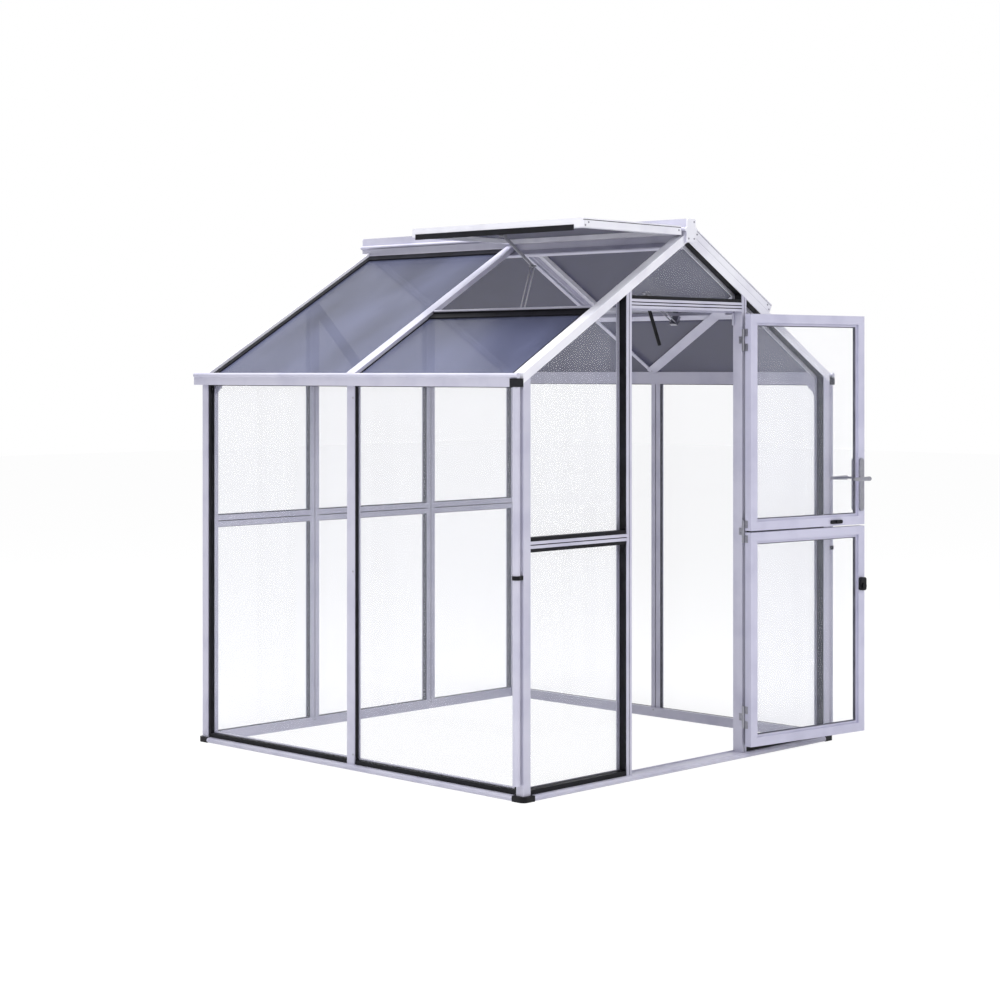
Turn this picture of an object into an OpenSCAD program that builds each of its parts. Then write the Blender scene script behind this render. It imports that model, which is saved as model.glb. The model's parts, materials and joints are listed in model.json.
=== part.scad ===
// Aluminium greenhouse with a split stable door, two roof vents and eaves gutters.
// Millimetres, +Z up, +X to the right as seen from the door side.
// The origin is the middle of the front sill's underside, on the ground.

/* [Building] */
// Width over the outer faces of the side walls
width = 1930; // [1700:10:2400]
// Length over the outer faces of the gables
length = 1930; // [1700:10:2600]
// Height of the roof's outer line at the side walls
eaves_h = 1601; // [1450:1:1800]
// Slope of the roof in degrees
pitch = 30.6; // [26:0.1:36]

/* [Wall bars] */
// Depth of the wall frames, from outer face to inner face
frame_d = 48; // [46:1:60]
// Thickness of the outer flange of a bar
flange_t = 5; // [3:0.5:7]
// Width of the outer face of a gable post
post_face = 28; // [26:1:44]
// Width of the inner lip of a bar
lip_w = 50; // [46:1:56]
// Thickness of the inner lip of a gable bar
lip_t = 4; // [3:0.5:9]
// Width of the outer faces of a corner post
corner_face = 38; // [37:0.5:44]
// Width of the outer face of a side post
side_face = 44; // [38:1:50]
// Height of the outer face of a middle rail
rail_face = 27; // [22:1:34]
// Height of the middle rails' centre line
rail_z = 956; // [850:1:1050]
// Distance of the gable posts' centre lines from the middle
post_x = 364; // [350:1:420]
// Width of the groove along the faces of a bar
groove_w = 4; // [1:0.5:6]
// Depth of the groove along the faces of a bar
groove_d = 3; // [0.5:0.25:3.5]

/* [Glazing] */
// Thickness of a pane
glass_t = 4; // [3:0.5:5]
// Depth of the side panes behind the outer face
side_glass_v = 24; // [20:1:25]
// Thickness of the black glazing strip beside a post
strip_t = 3; // [2:0.5:5]
// Height of the black glazing strip beside a rail
rail_strip = 14; // [8:1:18]
// Width of the black glazing strip beside a corner post, in the side walls
corner_strip = 16; // [3:1:30]
// Width of the black strip along a roof pane's upper edge
top_strip = 38; // [20:1:60]
// Width of the black strip along a roof pane's gable edge
gable_strip_w = 30; // [16:1:50]
// Thickness of the black strips on the roof panes
roof_strip_t = 6; // [3:0.5:8]
// Edge clearance of a pane in its rebate
glass_gap = 1; // [0.5:0.25:1.5]

/* [Sill] */
// Height of the sill body and its nose
sill_h = 22; // [18:1:28]
// Reach of the sill nose beyond the wall face
nose_out = 16; // [12:1:22]
// Height of the upstand behind the panes
upstand_h = 42; // [36:1:50]
// Height of the doorway threshold
threshold_h = 27; // [24:1:28]
// Rounding of the black corner feet
foot_r = 22; // [12:1:28]

/* [Gutter] */
// Reach of the gutter beyond the side wall
gutter_out = 38; // [32:1:50]
// Depth of the gutter underside below the eaves line
gutter_drop = 53; // [44:1:80]
// Wall thickness of the gutter
gutter_t = 3; // [2:0.5:4]
// Radius of the bead on the gutter's outer edge
bead_r = 10; // [6:0.5:11]
// Step from the bead back to the gutter's face
gutter_step = 5; // [2:0.5:8]
// Overhang of the gutter past the back gable
gutter_over = 18; // [0:1:40]
// Length of the black outlet piece at the front end of a gutter
outlet_l = 36; // [34:1:60]
// Outer diameter of a downpipe
pipe_d = 29; // [22:1:32]
// Wall thickness of a downpipe
pipe_t = 2; // [1.5:0.5:3]
// Height of the downpipes' lower ends
pipe_z = 63; // [40:1:120]
// Height of the pipe clips
clip_z = 837; // [300:1:1200]

/* [Roof] */
// Depth of the roof panes below the rafters' outer faces
roof_glass_t0 = 18; // [14:1:22]
// Width of the outer face of a gable rafter, across the slope
rafter_face = 34; // [30:1:40]
// Width of the top face of a middle rafter
mid_rafter_face = 52; // [36:1:60]
// Half width of the ridge beam
ridge_hw = 27; // [24:1:29]
// Height of the ridge beam below the roof's peak line
ridge_down = 44; // [42:1:60]
// Height of the ridge's crest above the roof's peak line
ridge_up = 50; // [30:1:70]
// Overhang of the ridge past the front gable
ridge_over = 11; // [0:1:60]
// Overhang of the ridge past the back gable
ridge_back = 2; // [0:1:60]

/* [Vents] */
// Distance from the vent's hinge line to its free edge
vent_l = 596; // [480:1:640]
// Width of the rails of a vent
vent_rail = 42; // [34:1:50]
// Thickness of a vent frame
vent_t = 36; // [30:1:40]
// Angle by which the left vent stands open
vent_open = 31; // [10:1:45]
// Radius of the hinge bead on the ridge
hinge_bead_r = 8; // [6:0.5:8.5]

/* [Door] */
// Clear gap between the door and its frame on the hinge side
door_gap = 5; // [5:0.5:8]
// Clear gap between the door and its frame on the closing side
latch_gap = 7; // [6:0.5:12]
// Thickness of a door leaf
door_t = 34; // [28:1:34]
// Height of the lower leaf's bottom edge
door_z0 = 50; // [34:1:60]
// Height of the lower leaf's top edge
leaf_split = 938; // [700:1:1100]
// Gap between the two leaves
leaf_gap = 7; // [6:1:20]
// Clear gap over the upper leaf
head_gap = 10; // [6:1:16]
// Clear height between the lintel and the rafters at the door posts
lintel_drop = 26; // [10:1:60]
// Height of the lintel
lintel_h = 37; // [30:1:44]
// Width of the stiles and rails of a leaf
door_rail = 47; // [40:1:56]
// Angle by which both leaves stand open
door_open = 172.5; // [90:0.5:174]
// Diameter of a hinge knuckle
knuckle_d = 13; // [11:0.5:14]
// Height of one hinge with its three knuckles
hinge_h = 92; // [60:1:120]

/* [Door furniture] */
// Height of the lever's spindle
lever_z = 1144; // [1080:1:1300]
// Length of a lever
lever_l = 90; // [70:1:130]
// Stand-off of a lever from the door face
lever_out = 50; // [40:1:60]
// Length of the handle plates
plate_l = 228; // [160:1:260]
// Height of the lower leaf's lock
lock_z = 688; // [400:1:800]

/* [Hidden] */
$fn = 48;

// Small overlap that makes a cut pass through a face
cut = 1;
// Clearance of a bead, pin or knuckle in its seat
seat = 0.3;
// Running clearance of a hinge pin or spindle
running = 0.08;

y_front = -frame_d / 2;
y_back = y_front + length;
y_mid = y_front + length / 2;
half_w = width / 2;
slope = tan(pitch);
apex_z = eaves_h + half_w * slope;
gutter_z = eaves_h - gutter_drop;
post_web = post_face - 2 * strip_t;
side_web = side_face - 2 * strip_t;
corner_web = corner_face - strip_t;
gable_glass_v = frame_d - lip_t - glass_t;
lip_v = frame_d - lip_t;
side_lip_v = side_glass_v + glass_t;
side_d = side_lip_v + lip_t;
inner_x = half_w - frame_d;

// Places of a bar's web, outer flange and inner lip, from the middle of a gable
corner_edges = half_w * [1, 1, 1] - [corner_web, corner_face, frame_d];
post_outer = post_x * [1, 1, 1] + [post_web, post_face, lip_w] / 2;
post_inner = post_x * [1, 1, 1] - [post_web, post_face, lip_w] / 2;
// Doorway between the door posts' outer flanges
doorway_x = post_x - post_face / 2;

// Depths of a gable rafter's web and inner lip across the slope
rafter_web = rafter_face - strip_t;
rafter_lip = rafter_face + 12;
// Depth of the lips that carry the roof panes
roof_seat = roof_glass_t0 + glass_t + seat;
roof_lip = roof_seat + lip_t;
// How far the gable rafters' lip reaches under the roof panes
roof_rebate = 14;
// Half widths of a middle rafter's web and of the lip under the panes
mid_web = 7;
mid_lip = 12;
// Reach of the ridge's lip under the roof panes, from the middle
ridge_lip_x = ridge_hw + 34;
// Centre of the hinge bead, from the middle and above the peak line
bead_x = ridge_hw + hinge_bead_r;
bead_z = apex_z + hinge_bead_r;

// Width of a wind brace
brace_w = 44;

// Middle of a downpipe, from the middle of the building and along it
pipe_x = half_w + gutter_out / 2 + 3;
pipe_y = y_front + pipe_d / 2 + 1;

// Hinge bead's centre in the slope frame
hinge_s = bead_x * cos(pitch) - (bead_z - apex_z) * sin(pitch);
hinge_n = bead_x * sin(pitch) + (bead_z - apex_z) * cos(pitch);
// Vent sill under the vent's bottom rail, set back from its free edge
vent_sill_w = 12;
vent_sill_back = 6;
vent_sill_end = hinge_s + vent_l - vent_sill_back;
vent_sill_s = vent_sill_end - vent_sill_w;
// Depth of the vent sill's top below the rafters' outer faces
vent_sill_top = 2;
// Thickness of a vent's seal, and its reach over the rail's edge and below it
vent_seal_t = 3;
vent_seal_up = 12;
vent_seal_down = 11;
// Extent of a vent along the building
vent_y0 = y_front;
vent_y1 = y_mid - 8;
// Height of a vent frame's underside above the rafters' outer faces
vent_lift = 1;
// First point of a vent's rails past the hinge line
vent_x0 = hinge_bead_r + 2;

// Plane of the vent openers, at the middle of the front bay
opener_y = (vent_y0 + vent_y1) / 2;
// Half spacing of an opener's twin arms, and their radius
opener_gap = 11;
arm_r = 3;
// Lengths of an opener's lower and upper arms between pivots
lower_arm = 228;
upper_arm = 209;
// Width and thickness of the flat upper arm
link_w = 12;
link_t = 6;
// Length of an opener's foot along the slope, its depth, and the depth of its pivot
foot_l = 14;
foot_d = 68;
foot_pivot = 58;
// Length and height of the block that ties an opener to the vent, and its hold under the rail
head_l = 24;
head_h = 16;
head_hold = 6;
head_x = vent_l - vent_rail - head_l + head_hold;

// Lintel, below the rafters where the door posts meet them
lintel_z = roof_z(post_inner[2], rafter_lip) - lintel_drop - lintel_h;
door_z1 = lintel_z - head_gap;

// Door leaf, closed in its frame
door_x0 = -doorway_x + latch_gap;
door_x1 = doorway_x - door_gap;
door_w = door_x1 - door_x0;
door_y = y_front;
upper_z0 = leaf_split + leaf_gap;
// Hinge line, in the gap beside the leaf and clear of the post's face
hinge_x = door_x1 + door_gap / 2;
hinge_y = y_front - knuckle_d / 2 - 1.5;
pin_r = 3;
// Thickness and depth of a hinge plate
leaf_plate_t = 2;
leaf_plate_d = 24;
// Heights of the three hinges
hinge_top = door_z1 - 108;
hinge_mid = leaf_split + leaf_gap / 2;
hinge_low = door_z0 + 120;
third = hinge_h / 3;
// Spindle of the lever handle, from the closing edge
lever_x = door_x0 + door_rail / 2;
spindle_r = 5;
handle_plate_t = 8;
handle_plate_w = 26;
// Width and depth of the step beside the pane on a leaf's bars
leaf_bead = 10;
leaf_step = 9;

// Height of the roof at distance x from the middle, t below its outer face
function roof_z(x, t) = apex_z - abs(x) * slope - t / cos(pitch);

// Outline of a band along the right slope, between two distances and two depths
function band(x0, x1, t0, t1) = [
    [x0, roof_z(x0, t0)],
    [x1, roof_z(x1, t0)],
    [x1, roof_z(x1, t1)],
    [x0, roof_z(x0, t1)]
];

// Outline of a gable bay from x0 to x1, under the roof at depth t
function bay(x0, x1, z0, t) = [
    [x0, z0],
    [x1, z0],
    [x1, roof_z(x1, t)],
    [x0, roof_z(x0, t)]
];

// Outline of the gable's middle bay, up to the peak
function peak(x, z0, t) = [
    [-x, z0],
    [x, z0],
    [x, roof_z(x, t)],
    [0, roof_z(0, t)],
    [-x, roof_z(x, t)]
];

// Wall frames: x along the wall, y into the building, z up
module at_front() {
    translate([0, y_front, 0]) children();
}
module at_back() {
    translate([0, y_back, 0]) rotate(180) children();
}
module at_right() {
    translate([half_w, y_mid, 0]) rotate(90) children();
}
module at_left() {
    translate([-half_w, y_mid, 0]) rotate(270) children();
}
module both_sides() {
    children();
    mirror([1, 0, 0]) children();
}

// Slope frame: x down the right slope from the peak, z out of the roof
module on_slope() {
    translate([0, 0, apex_z]) rotate([0, pitch, 0]) children();
}

// Outline in the plane of x and z, swept from y0 to y1
module sweep_y(y0, y1) {
    translate([0, y1, 0]) rotate([90, 0, 0]) linear_extrude(y1 - y0) children();
}

// Section of x depth and y height, swept along the wall from u0 to u1
module sweep_u(u0, u1) {
    translate([u0, 0, 0]) rotate([90, 0, 90]) linear_extrude(u1 - u0) children();
}

// Round bar between two points
module rod(p, q, r) {
    d = q - p;
    translate(p)
        rotate([0, acos(d[2] / norm(d)), atan2(d[1], d[0])])
        cylinder(r = r, h = norm(d));
}

// Flat bar between two points in the plane of x and z
module flat_link(p, q, w, t) {
    d = q - p;
    a = -atan2(d[2], d[0]);
    translate(p) rotate([0, a, 0]) rotate([90, 0, 0]) {
        translate([0, -w / 2, -t / 2]) cube([norm(d), w, t]);
        for (x = [0, norm(d)])
            translate([x, 0, -t / 2]) cylinder(d = w, h = t);
    }
}

// Section of a glazing bar: outer flange, web and inner lip, with a groove in the inner face
module bar_section(face, web, depth, lip_from) {
    difference() {
        union() {
            translate([-face / 2, 0]) square([face, flange_t]);
            translate([-web / 2, 0]) square([web, depth]);
            translate([-lip_w / 2, lip_from]) square([lip_w, depth - lip_from]);
        }
        translate([-groove_w / 2, depth - groove_d]) square([groove_w, groove_d + cut]);
    }
}

// Section of a sill: x into the building, y up, with a round nose
module sill_section(lip_from, top) {
    nose_r = sill_h / 2;
    translate([nose_r - nose_out, nose_r]) circle(r = nose_r);
    translate([nose_r - nose_out, 0]) square([frame_d + nose_out - nose_r, sill_h]);
    translate([lip_from, 0]) square([frame_d - lip_from, top]);
}

// Sill of a gable, from u0 to u1
module gable_sill() {
    sweep_u(-inner_x, inner_x) sill_section(lip_v, upstand_h);
}

module front_sill() {
    color("gainsboro") at_front() difference() {
        gable_sill();
        translate([-doorway_x, lip_v - cut, threshold_h])
            cube([2 * doorway_x, lip_t + 2 * cut, upstand_h]);
    }
}

module back_sill() {
    color("gainsboro") at_back() gable_sill();
}

module side_sill() {
    u = length / 2 - frame_d;
    sweep_u(-u, u) sill_section(side_lip_v, upstand_h);
}

module side_sills() {
    color("gainsboro") {
        at_left() side_sill();
        at_right() side_sill();
    }
}

// Black foot under a corner post, outer corner at the wall faces' meeting
module corner_foot() {
    reach = nose_out - 2;
    side = frame_d + reach;
    translate([-reach, -reach, 0]) linear_extrude(sill_h) {
        translate([foot_r, foot_r]) circle(r = foot_r);
        translate([foot_r, 0]) square([side - foot_r, side]);
        translate([0, foot_r]) square([side, side - foot_r]);
    }
}

// Children placed at the four corners, with their x and y into the building
module at_corners() {
    for (sx = [0, 1], sy = [0, 1])
        translate([0, y_mid, 0])
            mirror([sx, 0, 0])
            mirror([0, sy, 0])
            translate([-half_w, -length / 2, 0])
            children();
}

module sill_corners() {
    color("black") at_corners() corner_foot();
}

// Section of a corner post: two flanges, a core and the lips that carry the panes
module corner_section() {
    square([corner_web, corner_web]);
    square([corner_face, flange_t]);
    square([flange_t, corner_face]);
    translate([side_lip_v, 0]) square([corner_web - side_lip_v, frame_d]);
    translate([side_lip_v, lip_v]) square([frame_d - side_lip_v, lip_t]);
}

module corner_posts() {
    top = roof_z(inner_x, rafter_face) + cut;
    color("gainsboro") difference() {
        at_corners() translate([0, 0, sill_h]) linear_extrude(top - sill_h) corner_section();
        both_sides() sweep_y(y_front - cut, y_back + cut)
            polygon(band(inner_x - cut, half_w + cut, -rafter_face, rafter_face));
    }
}

// Gable post at x, notched over the sill's upstand, up to the rafter
module gable_post(x) {
    difference() {
        translate([x, 0, sill_h])
            linear_extrude(roof_z(x, rafter_face) - sill_h + post_face)
            bar_section(post_face, post_web, frame_d, lip_v);
        translate([x - lip_w, lip_v, 0]) cube([2 * lip_w, frame_d, upstand_h]);
        translate([x - groove_w / 2, -cut, 0]) cube([groove_w, groove_d + cut, apex_z]);
        translate([0, -cut, 0]) rotate([90, 0, 0]) mirror([0, 0, 1]) linear_extrude(frame_d + 2 * cut)
            both_sides() polygon(band(0, half_w, -half_w, rafter_face));
        translate([0, lip_v, 0]) rotate([90, 0, 0]) mirror([0, 0, 1]) linear_extrude(frame_d)
            both_sides() polygon(band(0, half_w, 0, rafter_lip));
    }
}

// Cheek that fills a door post's rebate on the doorway side
module doorway_cheek() {
    translate([doorway_x, 0, sill_h]) cube([strip_t + cut, lip_v, lintel_z - sill_h]);
}

// Door posts, without the inner lip that would narrow the doorway, and with a stop block behind the closed leaf
module door_posts() {
    lip_top = lintel_z + (lintel_h - lip_w) / 2;
    stop_w = 8;
    stop_h = 50;
    stop_v = door_t + 5;
    color("gainsboro") at_front() both_sides() {
        difference() {
            gable_post(post_x);
            translate([0, lip_v, 0]) cube([doorway_x, frame_d, lip_top]);
        }
        doorway_cheek();
        translate([doorway_x - stop_w, stop_v, lip_top - stop_h]) cube([stop_w + cut, frame_d - stop_v, stop_h]);
    }
}

module back_posts() {
    color("gainsboro") at_back() {
        gable_post(-post_x);
        gable_post(post_x);
    }
}

// Side post between the sill and the eaves beam
module side_post() {
    difference() {
        translate([0, 0, sill_h]) linear_extrude(gutter_z - sill_h)
            bar_section(side_face, side_web, side_d, side_lip_v);
        translate([-lip_w, side_lip_v, 0]) cube([2 * lip_w, frame_d, upstand_h]);
    }
}

module side_posts() {
    color("gainsboro") {
        at_left() side_post();
        at_right() side_post();
    }
}

// Rail between two bars of a gable, each given by its web, flange and lip; grooves at heights in its face
module gable_rail(a, b, face, z, grooves) {
    web = face - 2 * strip_t;
    translate([0, 0, z]) difference() {
        union() {
            sweep_u(a[1], b[1]) translate([0, -face / 2]) square([flange_t, face]);
            sweep_u(a[0], b[0]) translate([flange_t, -web / 2]) square([lip_v - flange_t, web]);
            sweep_u(a[2], b[2]) translate([lip_v, -lip_w / 2]) square([lip_t, lip_w]);
        }
        for (v = [-cut, frame_d - groove_d], g = grooves)
            sweep_u(a[0], b[0]) translate([v, g - groove_w / 2]) square([groove_d + cut, groove_w]);
    }
}

// Middle rails: two in the front wall, three in the back wall
module mid_rails() {
    color("gainsboro") {
        at_front() both_sides() gable_rail(post_outer, corner_edges, rail_face, rail_z, [0]);
        at_back() {
            both_sides() gable_rail(post_outer, corner_edges, rail_face, rail_z, [0]);
            gable_rail(-post_inner, post_inner, rail_face, rail_z, [0]);
        }
    }
}

module door_lintel() {
    color("gainsboro") at_front()
        gable_rail(-post_inner, post_inner, lintel_h, lintel_z + lintel_h / 2, [-lintel_h / 6, lintel_h / 6]);
}

// Outline of the whole right slope between two depths
module slope_band(t0, t1) {
    polygon(band(cut, half_w, t0, t1));
}

// Children trimmed at the inner face of the right wall
module inside_wall() {
    intersection() {
        children();
        translate([0, -length, 0]) cube([inner_x, 2 * length, 2 * apex_z]);
    }
}

// Right half of a gable rafter, with y into the building
module gable_rafter() {
    sweep_y(0, flange_t) slope_band(0, rafter_face);
    sweep_y(0, frame_d) slope_band(0, rafter_web);
    inside_wall() sweep_y(lip_v, frame_d) slope_band(0, rafter_lip);
    inside_wall() sweep_y(frame_d - cut, frame_d + roof_rebate) slope_band(roof_seat, roof_lip);
}

// Room for the ridge beam through the top of a gable, with a clearance
module ridge_notch(gap) {
    translate([-ridge_hw - gap, -length, apex_z - ridge_down - gap])
        cube([2 * (ridge_hw + gap), 2 * length, 2 * ridge_down]);
}

// Both rafters of a gable
module gable_pair() {
    difference() {
        both_sides() gable_rafter();
        ridge_notch(0);
    }
}

module gable_rafters() {
    color("white") {
        at_front() gable_pair();
        at_back() gable_pair();
    }
}

// Right middle rafter: a deep top bar over the panes, a web between them and a lip under them
module mid_rafter() {
    f = mid_rafter_face / 2;
    sweep_y(y_mid - f, y_mid + f) polygon(band(ridge_hw, half_w, 0, roof_glass_t0 - seat));
    sweep_y(y_mid - mid_web, y_mid + mid_web) polygon(band(ridge_hw, half_w, 0, roof_seat));
    sweep_y(y_mid - mid_lip, y_mid + mid_lip) polygon(band(ridge_lip_x, inner_x, roof_seat, roof_lip));
}

module mid_rafters() {
    color("white") both_sides() mid_rafter();
}

// Ridge beam with a hinge bead along each side, a crest above them and lips under the panes
module ridge() {
    wing_z = bead_z - hinge_bead_r / 2;
    under = 26;
    color("white") {
        sweep_y(y_front - ridge_over, y_back + ridge_back) {
            translate([-ridge_hw, apex_z - ridge_down]) square([2 * ridge_hw, ridge_down + ridge_up]);
            translate([-bead_x, bead_z - hinge_bead_r / 2])
                square([2 * bead_x, hinge_bead_r]);
            both_sides() translate([bead_x, bead_z]) circle(r = hinge_bead_r);
        }
        sweep_y(y_mid + mid_rafter_face / 2, y_back - frame_d) both_sides() polygon([
            [0, wing_z],
            [bead_x, wing_z],
            [ridge_hw, apex_z - under],
            [0, apex_z - under]
        ]);
        sweep_y(y_front + frame_d + roof_rebate, y_back - frame_d - roof_rebate) both_sides()
            polygon(band(0, ridge_lip_x, roof_seat, roof_lip));
    }
}

// Right gutter channel with a bead that runs on over the outlet, and the eaves beam that carries the panes
module gutter() {
    w = gutter_out - gutter_step;
    h = gutter_drop - 1 - bead_r;
    sweep_y(y_front + outlet_l, y_back + gutter_over) translate([half_w, gutter_z]) {
        square([w, gutter_t]);
        square([gutter_t, h]);
        translate([w - gutter_t, 0]) square([gutter_t, h]);
    }
    sweep_y(y_front, y_back + gutter_over)
        translate([half_w + gutter_out - bead_r, gutter_z + h]) circle(r = bead_r);
    sweep_y(y_back + gutter_over - gutter_t, y_back + gutter_over)
        translate([half_w, gutter_z]) square([w, h]);
    sweep_y(y_front + frame_d, y_back - frame_d) polygon([
        [inner_x, gutter_z],
        [half_w + gutter_t, gutter_z],
        [half_w + gutter_t, roof_z(half_w, roof_seat)],
        [half_w, roof_z(half_w, roof_seat)],
        [inner_x, roof_z(inner_x, roof_seat)]
    ]);
}

module gutters() {
    color("gainsboro") both_sides() gutter();
}

// Black outlet box that closes the gutter's front end and takes the downpipe
module outlet() {
    wall = gutter_t;
    h = gutter_drop - 1 - 2 * bead_r;
    difference() {
        translate([half_w, y_front, gutter_z]) cube([gutter_out, outlet_l, h]);
        translate([half_w + wall, y_front + wall, gutter_z + 2 * wall])
            cube([gutter_out - 2 * wall, outlet_l + frame_d, h]);
        translate([pipe_x, pipe_y, gutter_z - cut]) cylinder(d = pipe_d - 2 * pipe_t, h = h);
    }
}

module gutter_outlets() {
    color("black") both_sides() outlet();
}

module downpipes() {
    color("gainsboro") both_sides() translate([pipe_x, pipe_y, pipe_z]) difference() {
        cylinder(d = pipe_d, h = gutter_z - pipe_z);
        translate([0, 0, -cut]) cylinder(d = pipe_d - 2 * pipe_t, h = gutter_z);
    }
}

// Black clip round a downpipe, with its foot on the side wall's corner post
module pipe_clip() {
    clip_h = 16;
    clip_t = 3;
    translate([0, 0, clip_z - clip_h / 2]) difference() {
        union() {
            translate([pipe_x, pipe_y, 0]) cylinder(d = pipe_d + 2 * clip_t, h = clip_h);
            translate([half_w, pipe_y - pipe_d / 2, 0]) cube([pipe_x - half_w, pipe_d, clip_h]);
        }
        translate([pipe_x, pipe_y, -cut]) cylinder(d = pipe_d, h = clip_h + 2 * cut);
    }
}

module pipe_clips() {
    color("black") both_sides() pipe_clip();
}

// Gussets that tie the eaves beam to the corner posts, inside the side panes
module eaves_gusset() {
    leg = 50;
    plate = 3;
    translate([half_w - side_d - plate, 0, 0]) rotate([90, 0, 90]) linear_extrude(plate) polygon([
        [y_front + frame_d, gutter_z],
        [y_front + frame_d + leg, gutter_z],
        [y_front + frame_d, gutter_z - leg]
    ]);
}

module eaves_gussets() {
    color("silver") for (back = [0, 1])
        translate([0, y_mid, 0]) mirror([0, back, 0]) translate([0, -y_mid, 0])
            both_sides() eaves_gusset();
}

// Upstand across the front bay of the right slope, which the vent closes over
module vent_sill() {
    y0 = y_front + frame_d + seat;
    y1 = y_mid - mid_rafter_face / 2 - seat;
    y_lip = y0 + roof_rebate;
    on_slope() translate([vent_sill_s, 0, 0]) {
        translate([0, y_lip, -roof_lip]) cube([vent_sill_w, y1 - y_lip, roof_lip - vent_sill_top]);
        translate([0, y0, seat - roof_seat])
            cube([vent_sill_w, roof_rebate + cut, roof_seat - seat - vent_sill_top]);
        translate([-vent_sill_w, y_lip, -roof_lip])
            cube([3 * vent_sill_w, y_mid - mid_lip - seat - y_lip, lip_t]);
    }
}

module vent_sills() {
    color("white") both_sides() vent_sill();
}

// Flat wind brace with round ends, between two points of the slope
module roof_brace(low, high) {
    t = 3;
    d = high - low;
    translate([low[0], low[1], -t]) rotate(atan2(d[1], d[0])) {
        translate([0, -brace_w / 2, 0]) cube([norm(d), brace_w, t]);
        for (x = [0, norm(d)])
            translate([x, 0, 0]) cylinder(d = brace_w, h = t);
    }
}

// One brace in the right slope's front bay, one in the left slope's back bay
module roof_braces() {
    s_low = (inner_x + roof_lip * sin(pitch)) / cos(pitch) - brace_w / 2 - glass_gap;
    s_high = 0.42 * half_w / cos(pitch);
    y_low = mid_lip - 3;
    y_high = length / 2 - frame_d - brace_w / 2 - glass_gap;
    color("silver") for (side = [0, 1])
        translate([0, y_mid, 0]) rotate(180 * side) on_slope()
            translate([0, 0, -roof_lip]) roof_brace([s_low, -y_low], [s_high, -y_high]);
}

// Vent frame: x from the hinge line down the slope, z out of the roof
module in_vent(open) {
    on_slope() translate([hinge_s, 0, hinge_n]) rotate([0, -open, 0]) translate([0, 0, vent_lift - hinge_n])
        children();
}

// Right vent closed, left vent open
module both_vents() {
    in_vent(0) children();
    mirror([1, 0, 0]) in_vent(vent_open) children();
}

// Side rails, with a groove along their tops and one near the top of their outer faces
module vent_sides() {
    line_z = vent_t - 8;
    line_h = 3;
    color("white") both_vents() for (side = [0, 1])
        translate([vent_x0, side ? vent_y1 : vent_y0, 0]) mirror([0, side, 0]) difference() {
            cube([vent_l - vent_x0, vent_rail, vent_t]);
            translate([-cut, (vent_rail - groove_w) / 2, vent_t - groove_d])
                cube([vent_l + cut, groove_w, vent_t]);
            translate([-cut, -cut, line_z]) cube([vent_l + cut, groove_d + cut, line_h]);
        }
}

// Hinge rail with a hook round the ridge's bead, and the bottom rail
module vent_rails() {
    y0 = vent_y0 + vent_rail;
    y1 = vent_y1 - vent_rail;
    axis_z = hinge_n - vent_lift;
    hook_r = hinge_bead_r + 5;
    color("white") both_vents() {
        difference() {
            union() {
                translate([vent_x0, y0, 0]) cube([vent_rail, y1 - y0, vent_t]);
                translate([0, y1, axis_z]) rotate([90, 0, 0]) cylinder(r = hook_r, h = y1 - y0);
            }
            translate([0, y1 + cut, axis_z]) rotate([90, 0, 0])
                cylinder(r = hinge_bead_r + seat, h = y1 - y0 + 2 * cut);
            translate([-2 * hook_r, y0 - cut, -vent_t]) cube([2 * hook_r, y1 - y0 + 2 * cut, 3 * vent_t]);
        }
        translate([vent_l - vent_rail, y0, 0]) cube([vent_rail, y1 - y0, vent_t]);
    }
}

module vent_glass() {
    x0 = vent_x0 + vent_rail;
    x1 = vent_l - vent_rail;
    y0 = vent_y0 + vent_rail;
    y1 = vent_y1 - vent_rail;
    color([0.3, 0.3, 0.33, 0.6]) both_vents()
        translate([x0, y0, vent_t / 2]) cube([x1 - x0, y1 - y0, glass_t]);
}

// Black seal along a vent's free edge, which hangs between the rafters when the vent is shut
module vent_seals() {
    y0 = y_front + frame_d + vent_seal_t;
    y1 = y_mid - mid_rafter_face / 2 - vent_seal_t;
    color("black") both_vents() translate([vent_l, y0, -vent_seal_down])
        cube([vent_seal_t, y1 - y0, vent_seal_down + vent_seal_up]);
}

// A point in the slope frame, as building coordinates of the right slope
function slope_point(s, n) = [
    s * cos(pitch) + n * sin(pitch),
    opener_y,
    apex_z - s * sin(pitch) + n * cos(pitch)
];

// A point of a vent frame that is open by an angle, as building coordinates
function vent_point(x, z, open) =
    let (h = slope_point(hinge_s, hinge_n), a = pitch - open, n = z + vent_lift - hinge_n)
    [h[0] + x * cos(a) + n * sin(a), opener_y, h[2] - x * sin(a) + n * cos(a)];

// Meeting point of an opener's arms from p and q, to the left of the way from p to q
function elbow_point(p, q) =
    let (
        d = norm(q - p),
        along = (lower_arm * lower_arm - upper_arm * upper_arm + d * d) / (2 * d),
        off = sqrt(lower_arm * lower_arm - along * along),
        u = (q - p) / d
    )
    p + along * u + off * [-u[2], 0, u[0]];

// Elbow of the opener of a vent that is open by an angle
function opener_elbow(open) = elbow_point(
    slope_point(vent_sill_s - foot_l / 2, -foot_pivot),
    vent_point(head_x + head_l / 2, -head_h / 2, open)
);

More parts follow.
